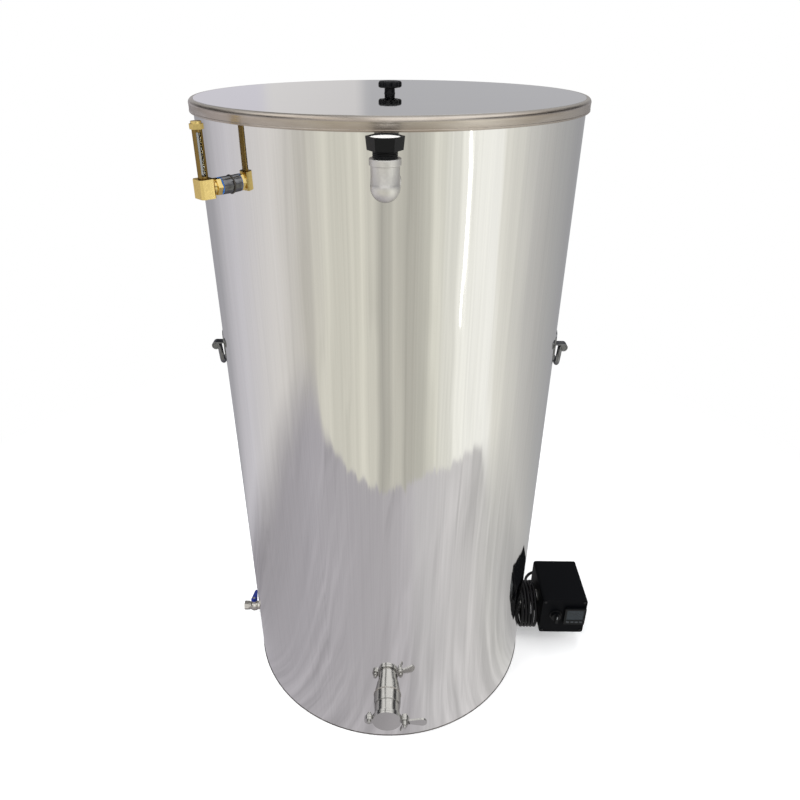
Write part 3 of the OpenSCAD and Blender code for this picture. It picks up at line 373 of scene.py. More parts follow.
def true_round(obj, at=(0, 0, 0), axis=(0, 0, 1)):
    """Gives faces that lie round an axis the exact normals of a cylinder."""
    mesh, line = obj.data, Vector(axis)
    normals = []
    for face in mesh.polygons:
        arms = [mesh.vertices[i].co - Vector(at) for i in face.vertices]
        arms = [arm - line * arm.dot(line) for arm in arms]
        reach = [arm.length for arm in arms]
        lies_round = max(reach) - min(reach) < ROUND_OFF and all(
            abs(face.normal.dot(arm)) > FACING * arm.length for arm in arms)
        for loop, arm in zip(face.loop_indices, arms):
            side = 1 if face.normal.dot(arm) > 0 else -1
            normals.append(side * arm.normalized() if lies_round else mesh.corner_normals[loop].vector.copy())
    mesh.normals_split_custom_set(normals)
    return obj


def loft(rings, closed=False):
    """A skin over rings of equal count, capped at both ends or closed on itself."""
    bm = bmesh.new()
    loops = [[bm.verts.new(p) for p in ring] for ring in rings]
    count = len(loops[0])
    for i in range(len(loops) - (0 if closed else 1)):
        low, high = loops[i], loops[(i + 1) % len(loops)]
        for k in range(count):
            j = (k + 1) % count
            bm.faces.new((low[k], low[j], high[j], high[k]))
    if not closed:
        bm.faces.new(list(reversed(loops[0])))
        bm.faces.new(loops[-1])
    bmesh.ops.recalc_face_normals(bm, faces=bm.faces)
    return bm


def circle(r, count, z):
    """A ring of points round the tank's axis."""
    return [Vector((r * cos(tau * k / count), r * sin(tau * k / count), z)) for k in range(count)]


def lathe(profile, count=256):
    """A closed profile of radius and height in millimetres, turned about the tank's axis."""
    return loft([circle(r * MM, count, z * MM) for r, z in profile], closed=True)


def tube(path, r, sides):
    """A round skin along a path, with its side direction carried along without twisting."""
    rings, side = [], Vector((1, 0, 0.01))
    for i, p in enumerate(path):
        ahead = (path[min(i + 1, len(path) - 1)] - path[max(i - 1, 0)]).normalized()
        side = (side - ahead * side.dot(ahead)).normalized()
        across = ahead.cross(side)
        rings.append([p + r * (cos(tau * k / sides) * side + sin(tau * k / sides) * across) for k in range(sides)])
    return loft(rings)


def saddle(r, azimuth, z, count=96):
    """The line where a round stub of radius r meets the wall, at an angle from the front towards +X."""
    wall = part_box("outer_wall")[1].x
    turn = Matrix.Rotation(azimuth, 3, "Z")
    line = []
    for k in range(count):
        x, up = r * cos(tau * k / count), r * sin(tau * k / count)
        line.append(turn @ Vector((x, -sqrt(wall * wall - x * x), z + up)))
    return line


# Geometry Nodes

SOCKET_KINDS = {"Count": "NodeSocketInt", "Finish": "NodeSocketMaterial"}
# Half the width of a thread's ridge, as a share of its pitch
RIDGE_SHARE = 0.36
# Sizes of a weld's drops, as shares of its width
DROP_LEAST, DROP_MOST, DROP_SEED = 0.86, 1.08, 7
# Width and length of a screw's slot, as shares of the head's radius, and its lift, as a share of the head's rise
SLOT_SHARES, SLOT_LIFT = (0.3, 1.2), 0.6


def new_tree(name, *inputs):
    """A tree with a geometry in and out, and named inputs for its sizes and its finish."""
    tree = bpy.data.node_groups.new(name, "GeometryNodeTree")
    tree.interface.new_socket("Geometry", in_out="INPUT", socket_type="NodeSocketGeometry")
    for label in (*inputs, "Finish"):
        kind = SOCKET_KINDS.get(label, "NodeSocketFloat")
        tree.interface.new_socket(label, in_out="INPUT", socket_type=kind)
    tree.interface.new_socket("Geometry", in_out="OUTPUT", socket_type="NodeSocketGeometry")
    return tree, add(tree, "NodeGroupInput").outputs


def end_tree(tree, shape, given):
    """Ends a tree in real geometry with its finish."""
    real = add(tree, "GeometryNodeRealizeInstances", links={"Geometry": shape})
    finish = add(tree, "GeometryNodeSetMaterial", links={"Geometry": real, "Material": given["Finish"]})
    add(tree, "NodeGroupOutput", links={"Geometry": finish})
    return tree


def thread_tree():
    """A helical ridge that climbs Z from the origin."""
    tree, given = new_tree("thread ridge", "Radius", "Pitch", "Turns")
    rise = add(tree, "ShaderNodeMath", links={0: given["Pitch"], 1: given["Turns"]}, operation="MULTIPLY")
    ridge = add(tree, "ShaderNodeMath", {1: RIDGE_SHARE}, {0: given["Pitch"]}, operation="MULTIPLY")
    helix = add(tree, "GeometryNodeCurveSpiral", {"Resolution": 40},
                {"Rotations": given["Turns"], "Start Radius": given["Radius"], "End Radius": given["Radius"],
                 "Height": rise})
    section = add(tree, "GeometryNodeCurvePrimitiveCircle", {"Resolution": 6}, {"Radius": ridge})
    skin = add(tree, "GeometryNodeCurveToMesh", {"Fill Caps": True}, {"Curve": helix, "Profile Curve": section})
    return end_tree(tree, skin, given)


def bead_tree():
    """Overlapping drops along a line, as a hand-fed weld leaves them."""
    tree, given = new_tree("weld bead", "Width", "Count")
    line = add(tree, "GeometryNodeMeshToCurve", links={"Mesh": given["Geometry"]})
    spots = add(tree, "GeometryNodeResampleCurve", links={"Curve": line, "Count": given["Count"]})
    half = add(tree, "ShaderNodeMath", {1: 0.5}, {0: given["Width"]}, operation="MULTIPLY")
    drop = add(tree, "GeometryNodeMeshIcoSphere", {"Subdivisions": 2}, {"Radius": half})
    size = add(tree, "FunctionNodeRandomValue", {2: DROP_LEAST, 3: DROP_MOST, "Seed": DROP_SEED}, data_type="FLOAT")
    drops = add(tree, "GeometryNodeInstanceOnPoints",
                links={"Points": spots, "Instance": drop, "Scale": size.outputs[1]})
    return end_tree(tree, drops, given)


def screw_tree():
    """Cross-slotted screw heads at the corners of a rectangle in the XZ plane, facing -Y."""
    tree, given = new_tree("panel screws", "Width", "Height", "Head", "Rise")
    corners = add(tree, "GeometryNodeMeshGrid", {"Vertices X": 2, "Vertices Y": 2},
                  {"Size X": given["Width"], "Size Y": given["Height"]})
    head = add(tree, "GeometryNodeMeshCylinder", {"Vertices": 32}, {"Radius": given["Head"], "Depth": given["Rise"]})
    narrow, wide = (add(tree, "ShaderNodeMath", {1: share}, {0: given["Head"]}, operation="MULTIPLY")
                    for share in SLOT_SHARES)
    up = add(tree, "ShaderNodeCombineXYZ", links={"Z": given["Rise"]})
    lift = add(tree, "ShaderNodeVectorMath", {"Scale": SLOT_LIFT}, {0: up}, operation="SCALE")
    cut = add(tree, "GeometryNodeMeshBoolean", links={0: head}, operation="DIFFERENCE")
    for x, y in ((narrow, wide), (wide, narrow)):
        size = add(tree, "ShaderNodeCombineXYZ", links={"X": x, "Y": y, "Z": given["Rise"]})
        bar = add(tree, "GeometryNodeMeshCube", links={"Size": size})
        slot = add(tree, "GeometryNodeTransform", links={"Geometry": bar, "Translation": lift})
        tree.links.new(slot.outputs[0], cut.inputs[1])
    set_out = add(tree, "GeometryNodeInstanceOnPoints", links={"Points": corners, "Instance": cut})
    turned = add(tree, "GeometryNodeTransform", {"Rotation": (pi / 2, 0, 0)}, {"Geometry": set_out})
    return end_tree(tree, turned, given)


def grown(name, tree, finish, points=(), **values):
    """A plain mesh grown by a tree, from a closed line of points where it follows one."""
    mesh = bpy.data.meshes.new(name)
    edges = [(i, (i + 1) % len(points)) for i in range(len(points))]
    mesh.from_pydata([tuple(p) for p in points], edges, [])
    obj = put(name, mesh)
    grow = obj.modifiers.new("grow", "NODES")
    grow.node_group = tree
    values["Finish"] = FINISHES[finish]
    for item in tree.interface.items_tree:
        if item.in_out == "INPUT" and item.name in values:
            grow[item.identifier] = values[item.name]
    shade_smooth(plain(obj).data)
    return obj


def thread(name, node, finish, r, pitch, start, run, axis):
    """A thread ridge that starts at a point and runs along an axis, on a node's body."""
    obj = grown(name, bpy.data.node_groups["thread ridge"], finish, Radius=r, Pitch=pitch, Turns=run / pitch)
    turn = Vector((0, 0, 1)).rotation_difference(Vector(axis)).to_matrix().to_4x4()
    obj.data.transform(Matrix.Translation(start) @ turn)
    return extra(obj, node)


# Operators


class TankOperator:
    """What the tank's operators share."""
    bl_options = {"REGISTER", "UNDO"}

    def execute(self, context):
        self.build(context.scene.tank_sizes)
        return {"FINISHED"}


# Viewpoint of the photograph, worked out from the outline of the lid, the wall and the base
CAMERA_OUT, CAMERA_UP = 1.1575, 1.2743
CAMERA_AZIMUTH, CAMERA_PITCH = radians(0.85), radians(29.39)
CAMERA_LENS, CAMERA_SHIFT = 29.84, 0.0129
# Name, place, size across and up, power in watts, and whether bright metal shows it
LAMPS = (
    ("key_softbox", (-2.3, -2.0, 2.9), 1.6, 1.6, 70, False),
    ("right_softbox", (2.4, -1.0, 1.5), 0.5, 2.4, 26, False),
    ("left_softbox", (-2.6, 0.6, 1.5), 0.6, 2.4, 22, False),
    ("top_softbox", (0.2, 0.4, 3.6), 2.0, 2.0, 44, False),
    ("edge_strip", (1.6, -1.7, 1.25), 0.05, 2.4, 0.55, True),
)
# Height on the tank's axis that the softboxes point at
LAMP_AIM = 0.6
# Half the side of the floor
FLOOR_HALF = 14.0
# The surroundings as the steel shows them, by the bearing from the front towards +X in degrees.
# Reach of the ground sheet that the tank stands on, and softness of its edge, in metres
SHEET_REACH = (
    (-180, 0.45, 0.3), (-120, 0.7, 0.4), (-82, 1.4, 0.75), (-56, 2.2, 0.95), (-47, 2.3, 0.9), (-41, 1.75, 0.4),
    (-36, 1.42, 0.08), (-20, 1.21, 0.03), (0, 1.135, 0.03), (20, 1.2, 0.03), (40, 1.25, 0.04), (58, 1.36, 0.08),
    (68, 1.55, 0.9), (80, 1.6, 1.3), (96, 0.8, 0.55), (116, 0.65, 0.4), (140, 0.55, 0.2), (180, 0.45, 0.3))
# Reach that stands for the full value of the ramp
REACH_MOST = 2.5
# Raggedness of the sheet's edge, and bend and drift of its folds as they run out from the tank
SHEET_HEM, FOLD_BEND, FOLD_DRIFT = 0.1, 0.3, 0.09
# Levels of a fold's dark and bright side, and the share of them that is left where the folds are faint
FOLD_DARK, FOLD_BRIGHT, FOLD_FAINT = 0.82, 1.18, 0.12
# Tones of the sheet
SHEET_TONES = (
    (-180, "#88858B"), (-112, "#8D8A90"), (-92, "#9E9BA0"), (-50, "#AFACB2"), (0, "#B4B1B5"), (10, "#BFBCC0"),
    (18, "#C9C7C9"), (34, "#CFCDCE"), (50, "#CECCCC"), (66, "#C8C7C5"), (80, "#B4B3B3"), (104, "#949395"),
    (180, "#88858B"))
# Tones of the room beyond the sheet
ROOM_TONES = (
    (-180, "#98989C"), (-150, "#9C9BA0"), (-130, "#A8A7AC"), (-115, "#C8C6CC"), (-103, "#D2D0D6"), (-66, "#E2DFDC"),
    (-48, "#C2BFB8"), (-36, "#DBD9CE"), (-13, "#E4E2D6"), (-3, "#B4B2AA"), (4, "#CBC9BF"), (12, "#BBB9B0"),
    (27, "#E0DFD4"), (45, "#FFFFF8"), (62, "#FFFFFA"), (68, "#EBEAE2"), (80, "#DCDBD5"), (92, "#CAC9C6"),
    (104, "#BEBDBB"), (118, "#B0B0B0"), (136, "#A3A3A5"), (180, "#98989C"))
# Levels of the room's streaks, the level without them, and the share of fine ones
STREAK_DARK, STREAK_BRIGHT, STREAK_NONE, STREAK_FINE = 0.8, 1.06, 0.95, 0.55
# Bearings over which the streaks die away, and the share of them that does
STREAKS_FROM, STREAKS_TO, STREAKS_LOST = radians(50), radians(72), 0.85
# Strength at which the steel shows the floor, and of the glow that lifts the paper towards white
MIRRORED, GLOW = 1.12, 0.34
# Distance from the tank over which the floor fades to plain white
FADE_FROM, FADE_TO = 0.75, 1.6
# Tones of the panels low behind the tank, across from -X to +X
PANEL_TONES = ((0, "#CDCCD2"), (0.405, "#D0CED6"), (0.412, "#D8D6D6"), (0.47, "#D2D0D0"), (0.478, "#B4B4B7"),
               (1, "#BCBCC1"))
# Tones over them, from the horizon up
CEILING_TONES = ((0, "#F0F0F0"), (0.3, "#F6F6F6"), (0.9, "#FFFFFF"), (1, "#DADADC"))
# Level that the ceiling falls to behind the tank, and how far back, as sines
CEILING_DIM, DIM_FROM, DIM_TO = 0.4, 0.05, 0.35
# Shares of a dark bar high in front of the tank, across from -X to +X
BAR_SHARES = ((0, 0), (0.31, 0), (0.35, 0.9), (0.39, 0.9), (0.42, 0), (1, 0))
# Heights, as sines, between which the ceiling follows the panels, the side flags start and end, and the bar starts
HEIGHTS = ((0.13, 0.24), (0.04, 0.16), (0.62, 0.42), (0.28, 0.45))
# How far out to the sides the flags start, as sines
FLAGS_FROM, FLAGS_TO = 0.52, 0.74
# Strength of the room high up, and of the light that falls on what isn't bright metal
HIGH_STRENGTH, FILL_STRENGTH = 1.4, 0.5


def by_bearing(tones):
    """Stops of a ramp that goes once round the tank, from tones by bearing."""
    return [(0.5 + at / 360, linear(code)) for at, code in tones]


def set_stops(ramp, values):
    """Sets the stops of a colour ramp."""
    stops = ramp.color_ramp.elements
    for stop, (at, rgb) in ((stops[0], values[0]), (stops[1], values[-1])):
        stop.position, stop.color = at, shade(rgb)
    for at, rgb in values[1:-1]:
        stops.new(at).color = shade(rgb)


class TANK_OT_stage(TankOperator, bpy.types.Operator):
    """Sets the camera, the floor, the lamps and the surroundings"""
    bl_idname = "honey_tank.stage"
    bl_label = "Stage"

    def build(self, sizes):
        scene = bpy.context.scene
        scene.view_settings.view_transform = "Standard"
        camera = put("camera", bpy.data.cameras.new("camera"))
        camera.data.lens, camera.data.shift_x = CAMERA_LENS, CAMERA_SHIFT
        camera.location = (CAMERA_OUT * sin(CAMERA_AZIMUTH), -CAMERA_OUT * cos(CAMERA_AZIMUTH), CAMERA_UP)
        camera.rotation_euler = (pi / 2 - CAMERA_PITCH, 0, CAMERA_AZIMUTH)
        scene.camera = camera
        self.lay_floor()
        self.surround(scene)
        for name, at, across, up, power, mirrored in LAMPS:
            light = bpy.data.lights.new(name, "AREA")
            light.shape, light.size, light.size_y, light.energy = "RECTANGLE", across, up, power
            lamp = put(name, light)
            lamp.location = at
            aim = Vector((0, 0, at[2] if mirrored else LAMP_AIM)) - Vector(at)
            lamp.rotation_euler = aim.to_track_quat("-Z", "Y").to_euler()
            lamp.visible_camera, lamp.visible_glossy = False, mirrored

    def lay_floor(self):
        """White paper to the camera. In the steel it shows as a pale ground sheet with long folds, and beyond the
        sheet's edges as a bright room in upright streaks."""
        mesh = bpy.data.meshes.new("floor")
        h = FLOOR_HALF
        mesh.from_pydata([(-h, -h, 0), (h, -h, 0), (h, h, 0), (-h, h, 0)], [], [(0, 1, 2, 3)])
        floor = put("floor", mesh)
        floor.location.z = -MM / 2
        paper = bpy.data.materials.new("Studio floor")
        paper.use_nodes = True
        mesh.materials.append(paper)
        tree = paper.node_tree
        tree.nodes.clear()
        ray = add(tree, "ShaderNodeLightPath").outputs
        coords = add(tree, "ShaderNodeTexCoord").outputs["Object"]
        place = add(tree, "ShaderNodeSeparateXYZ", links={"Vector": coords}).outputs
        front = add(tree, "ShaderNodeMath", {1: -1}, {0: place["Y"]}, operation="MULTIPLY")
        angle = add(tree, "ShaderNodeMath", links={0: place["X"], 1: front}, operation="ARCTAN2")
        turn = add(tree, "ShaderNodeMapRange", {"From Min": -pi, "From Max": pi}, {"Value": angle})
        bearing = add(tree, "ShaderNodeVectorMath", links={0: coords}, operation="NORMALIZE")
        away = add(tree, "ShaderNodeVectorMath", links={0: coords}, operation="LENGTH").outputs["Value"]
        # The room: panels round the tank, in front broken into soft and fine upright streaks
        panels = add(tree, "ShaderNodeValToRGB", links={"Fac": turn})
        set_stops(panels, by_bearing(ROOM_TONES))
        wide = add(tree, "ShaderNodeTexNoise", {"Scale": 4, "Detail": 1}, {"Vector": bearing})
        fine = add(tree, "ShaderNodeTexNoise", {"Scale": 14, "Detail": 3, "Roughness": 0.65}, {"Vector": bearing})
        streak = add(tree, "ShaderNodeMix", {0: STREAK_FINE}, {2: wide, 3: fine})
        ends = {"From Min": 0.34, "From Max": 0.6, "To Min": STREAK_DARK, "To Max": STREAK_BRIGHT}
        streak_level = add(tree, "ShaderNodeMapRange", ends, {"Value": streak})
        aside = add(tree, "ShaderNodeMath", links={0: angle}, operation="ABSOLUTE")
        ends = {"From Min": STREAKS_FROM, "From Max": STREAKS_TO, "To Max": STREAKS_LOST}
        calm = add(tree, "ShaderNodeMapRange", ends, {"Value": aside})
        level = add(tree, "ShaderNodeMix", {3: STREAK_NONE}, {0: calm, 2: streak_level})
        room = add(tree, "ShaderNodeVectorMath", links={0: panels, "Scale": level}, operation="SCALE")
        # The ground sheet: thin folds that run out from the tank, strong in some places and faint in others
        nearness = add(tree, "ShaderNodeMath", {1: e}, {0: away}, operation="LOGARITHM")
        bend = add(tree, "ShaderNodeMath", {1: -FOLD_BEND}, {0: nearness}, operation="MULTIPLY")
        swirl = add(tree, "ShaderNodeVectorRotate", links={"Vector": bearing, "Angle": bend}, rotation_type="Z_AXIS")
        drift = add(tree, "ShaderNodeMath", {1: FOLD_DRIFT}, {0: nearness}, operation="MULTIPLY")
        folds = add(tree, "ShaderNodeTexNoise", {"Scale": 12, "Detail": 3, "Roughness": 0.55, "Distortion": 0.3},
                    {"Vector": swirl, "W": drift}, noise_dimensions="4D")
        fold_share = add(tree, "ShaderNodeMapRange", {"From Min": 0.34, "From Max": 0.66}, {"Value": folds})
        places = add(tree, "ShaderNodeTexNoise", {"Scale": 1.7, "Detail": 1}, {"Vector": coords})
        ends = {"From Min": 0.42, "From Max": 0.62, "To Min": FOLD_FAINT}
        strong = add(tree, "ShaderNodeMapRange", ends, {"Value": places})
        fold_tone = add(tree, "ShaderNodeMix", {2: 0.5}, {0: strong, 3: fold_share})
        ends = {"To Min": FOLD_DARK, "To Max": FOLD_BRIGHT}
        fold_level = add(tree, "ShaderNodeMapRange", ends, {"Value": fold_tone})
        sheet = add(tree, "ShaderNodeValToRGB", links={"Fac": turn})
        set_stops(sheet, by_bearing(SHEET_TONES))
        ground = add(tree, "ShaderNodeVectorMath", links={0: sheet, "Scale": fold_level}, operation="SCALE")
        # Red holds the sheet's reach and green the softness of its edge
        reach = add(tree, "ShaderNodeValToRGB", links={"Fac": turn})
        set_stops(reach, [(0.5 + at / 360, (far / REACH_MOST, soft / REACH_MOST, 0)) for at, far, soft in SHEET_REACH])
        limits = add(tree, "ShaderNodeSeparateColor", links={"Color": reach}).outputs
        shares = add(tree, "ShaderNodeMath", {1: 1 / REACH_MOST}, {0: away}, operation="MULTIPLY")
        ends = {"To Min": -SHEET_HEM / REACH_MOST, "To Max": SHEET_HEM / REACH_MOST}
        hem = add(tree, "ShaderNodeMapRange", ends, {"Value": fine})
        edge = add(tree, "ShaderNodeMath", links={0: limits["Red"], 1: hem}, operation="ADD")
        inside = add(tree, "ShaderNodeMath", links={0: edge, 1: shares}, operation="SUBTRACT")
        depth = add(tree, "ShaderNodeMath", links={0: inside, 1: limits["Green"]}, operation="DIVIDE")
        on_sheet = add(tree, "ShaderNodeMapRange", links={"Value": depth}, interpolation_type="SMOOTHSTEP")
        seen = add(tree, "ShaderNodeMix", links={0: on_sheet, 6: room, 7: ground}, data_type="RGBA").outputs[2]
        mirrored = add(tree, "ShaderNodeEmission", {"Strength": MIRRORED}, {"Color": seen})
        # To the camera the lit paper, which holds the shadow, fades to white with distance
        paint = add(tree, "ShaderNodeBsdfDiffuse", {"Color": shade(linear("#F4F4F4"))})
        glow = add(tree, "ShaderNodeEmission", {"Color": (1, 1, 1, 1), "Strength": GLOW})
        lit = add(tree, "ShaderNodeAddShader", links={0: paint, 1: glow})
        ends = {"From Min": FADE_FROM, "From Max": FADE_TO}
        far = add(tree, "ShaderNodeMapRange", ends, {"Value": away}, interpolation_type="SMOOTHSTEP")
        faded = add(tree, "ShaderNodeMath", links={0: far, 1: ray["Is Camera Ray"]}, operation="MULTIPLY")
        white = add(tree, "ShaderNodeEmission", {"Color": (1, 1, 1, 1), "Strength": 1})
        shown = add(tree, "ShaderNodeMixShader", links={0: faded, 1: lit, 2: white})
        both = add(tree, "ShaderNodeMixShader", links={0: ray["Is Glossy Ray"], 1: shown, 2: mirrored})
        add(tree, "ShaderNodeOutputMaterial", links={"Surface": both})

    def surround(self, scene):
        """White to the camera and an even light on the tank. In the steel it shows as grey panels low down, and over
        them a ceiling that is bright in front and dim behind."""
        world = bpy.data.worlds.new("studio")
        world.use_nodes = True
        scene.world = world
        tree = world.node_tree
        tree.nodes.clear()
        ray = add(tree, "ShaderNodeLightPath").outputs
        bearing = add(tree, "ShaderNodeTexCoord").outputs["Generated"]
        split = add(tree, "ShaderNodeSeparateXYZ", links={"Vector": bearing}).outputs
        height, over, under, high = (
            add(tree, "ShaderNodeMapRange", {"From Min": start, "From Max": end}, {"Value": split["Z"]})
            for start, end in HEIGHTS)
        across = add(tree, "ShaderNodeMapRange", {"From Min": -1, "From Max": 1}, {"Value": split["X"]})
        panels = add(tree, "ShaderNodeValToRGB", links={"Fac": across})
        set_stops(panels, [(at, linear(code)) for at, code in PANEL_TONES])
        ceiling = add(tree, "ShaderNodeValToRGB", links={"Fac": split["Z"]})
        set_stops(ceiling, [(at, linear(code)) for at, code in CEILING_TONES])
        ends = {"From Min": DIM_FROM, "From Max": DIM_TO, "To Min": 1, "To Max": CEILING_DIM}
        behind = add(tree, "ShaderNodeMapRange", ends, {"Value": split["Y"]})
        ceiling_lit = add(tree, "ShaderNodeVectorMath", links={0: ceiling, "Scale": behind}, operation="SCALE")
        walls = add(tree, "ShaderNodeMix", links={0: height, 6: panels, 7: ceiling_lit}, data_type="RGBA")
        # Black flags at both sides draw dark lines on the bright fittings
        side = add(tree, "ShaderNodeMath", links={0: split["X"]}, operation="ABSOLUTE")
        beside = add(tree, "ShaderNodeMapRange", {"From Min": FLAGS_FROM, "From Max": FLAGS_TO}, {"Value": side})
        flag = add(tree, "ShaderNodeMath", links={0: beside, 1: over}, operation="MULTIPLY")
        flag_share = add(tree, "ShaderNodeMath", links={0: flag, 1: under}, operation="MULTIPLY")
        # A dark bar high in front puts a streak on the gate's tube
        bar = add(tree, "ShaderNodeValToRGB", links={"Fac": across})
        set_stops(bar, [(at, (share, share, share)) for at, share in BAR_SHARES])
        bar_share = add(tree, "ShaderNodeMath", links={0: bar, 1: high}, operation="MULTIPLY")
        dark = add(tree, "ShaderNodeMath", links={0: flag_share, 1: bar_share}, operation="MAXIMUM")
        room = add(tree, "ShaderNodeMix", {7: shade(linear("#37373A"))}, {0: dark, 6: walls.outputs[2]},
                   data_type="RGBA")
        bright = add(tree, "ShaderNodeMapRange", {"To Min": 1, "To Max": HIGH_STRENGTH}, {"Value": high})
        mirrored = add(tree, "ShaderNodeBackground", links={"Color": room.outputs[2], "Strength": bright})
        fill = add(tree, "ShaderNodeBackground", {"Color": shade(linear("#EEF0F4")), "Strength": FILL_STRENGTH})
        white = add(tree, "ShaderNodeBackground", {"Color": (1, 1, 1, 1), "Strength": 1})
        plain_rays = add(tree, "ShaderNodeMath", links={0: ray["Is Camera Ray"], 1: ray["Is Transmission Ray"]},
                         operation="MAXIMUM")
        lit = add(tree, "ShaderNodeMixShader", links={0: plain_rays, 1: fill, 2: white})
        both = add(tree, "ShaderNodeMixShader", links={0: ray["Is Glossy Ray"], 1: lit, 2: mirrored})
        add(tree, "ShaderNodeOutputWorld", links={"Surface": both})


# Route of the cord, in millimetres: from the gland to the coil, round the coil, and down to the plug
CORD_R, CORD_SIDES = 3.5, 14
COIL_X, COIL_Z, COIL_R, COIL_PITCH, COIL_TURNS, COIL_RINGS = 344.5, 63.739, 51, 7.7, 4.5, 36
LEAD = [(400, 83.5, 58), (400, 92, 58), (396, 106, 57), (386, 116, 54), (372, 120, 50), (358, 116, 46),
        (348, 106, 42), (344.5, 92, 37), (344.5, 72, 29), (344.5, 52, 22), (344.5, 32, 16.5), (344.5, 14, 13.4),
        (344.5, 0, 12.739)]
TAIL = [(309.85, 0, 114.739), (310, 12, 114.6), (310, 26, 112), (310.5, 40, 106.5), (311.5, 52, 97.5),
        (312.5, 61, 86), (313, 66, 76), (313, 67, 71), (313, 67, 66)]
ROUTE_STEPS = 6


def smooth(points):
    """A curve through the points, as the part's source draws it."""
    p = [Vector(q) for q in points]
    last = len(p) - 1
    line = []
    for i in range(last):
        a, b, c, d = p[max(i - 1, 0)], p[i], p[i + 1], p[min(i + 2, last)]
        for s in range(ROUTE_STEPS):
            t = s / ROUTE_STEPS
            line.append((2 * b + (c - a) * t + (2 * a - 5 * b + 4 * c - d) * t * t
                         + (3 * b - a - 3 * c + d) * t ** 3) / 2)
    return line + [p[last]]


class TANK_OT_cord(TankOperator, bpy.types.Operator):
    """Makes the power cord with its gland and plug"""
    bl_idname = "honey_tank.cord"
    bl_label = "Power cord"

    def build(self, sizes):
        coil = []
        for i in range(1, int(COIL_TURNS * COIL_RINGS)):
            turn = tau * i / COIL_RINGS
            x = COIL_X - COIL_PITCH * turn / tau
            coil.append(Vector((x, -COIL_R * sin(turn), COIL_Z - COIL_R * cos(turn))))
        path = [p * MM for p in smooth(LEAD) + coil + smooth(TAIL)]
        cord = stands_for(new_piece("cord", tube(path, CORD_R * MM, CORD_SIDES), "cord"), "cord_lead", "cord_coil")
        worked("cord_gland", "case", sizes.moulded_edge)
        plug = worked("power_plug", "cord", 2 * sizes.moulded_edge)
        blades = worked("plug_blades", "brass", sizes.sheet_edge)


class TANK_OT_walls(TankOperator, bpy.types.Operator):
    """Makes the outer wall, the vessel and what holds them"""
    bl_idname = "honey_tank.walls"
    bl_label = "Walls"

    def build(self, sizes):
        for node, finish in (("outer_wall", "wall"), ("vessel_wall", "sheet")):
            obj = new_piece(node + "_look", copy_of(node), finish)
            stands_for(true_round(obj), node)
        for node in ("base_plate", "vessel_bottom", "vessel_posts", "top_ring"):
            worked(node, "sheet", sizes.sheet_edge)
        # The sheet is closed by a seam down the back, ground almost flush, from the foot to under the lid
        low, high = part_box("outer_wall")
        half, rise, shoulder = sizes.seam_width / 2, 0.3 * MM, 0.24 * MM
        flank = [(-half, -rise), (-half / 2, shoulder), (0, rise), (half / 2, shoulder), (half, -rise)]
        rings = [[Vector((x, sqrt(high.x ** 2 - x * x) + y, z)) for x, y in flank]
                 for z in (low.z + 2 * MM, high.z - 20 * MM)]
        extra(new_piece("wall_seam", loft(rings), "weld"), "outer_wall")
        # Seam round the foot, where the wall meets the base. Its dark finish is partly a weld left unbrushed and
        # partly painted shadow along the foot
        r = high.x / MM
        foot = [(r - 0.4, 0.2), (r + 0.7, 0.2), (r + 0.9, 0.8), (r + 0.6, 1.7), (r - 0.4, 2.3)]
        extra(new_piece("foot_seam_and_shadow", lathe(foot), "foot"), "outer_wall")
        # Weld beads round the fittings that are welded to the wall. They sit out a little, in overlapping drops.
        beads, out, step = bead_tree(), 0.15 * sizes.weld_bead, 0.42 * sizes.weld_bead
        fittings = (("outlet_collar", "weld"), ("fill_nipple", "weld"), ("sight_coupling", "foot"),
                    ("drain_coupling", "weld"), ("heater_coupling", "weld"))
        for node, finish in fittings:
            low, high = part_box(node)
            at, r = middle(node), (high.z - low.z) / 2
            line = saddle(r + out, atan2(at.x, -at.y), at.z)
            weld = grown(node + "_weld", beads, finish, line, Width=sizes.weld_bead, Count=ceil(tau * r / step))
            extra(weld, node)


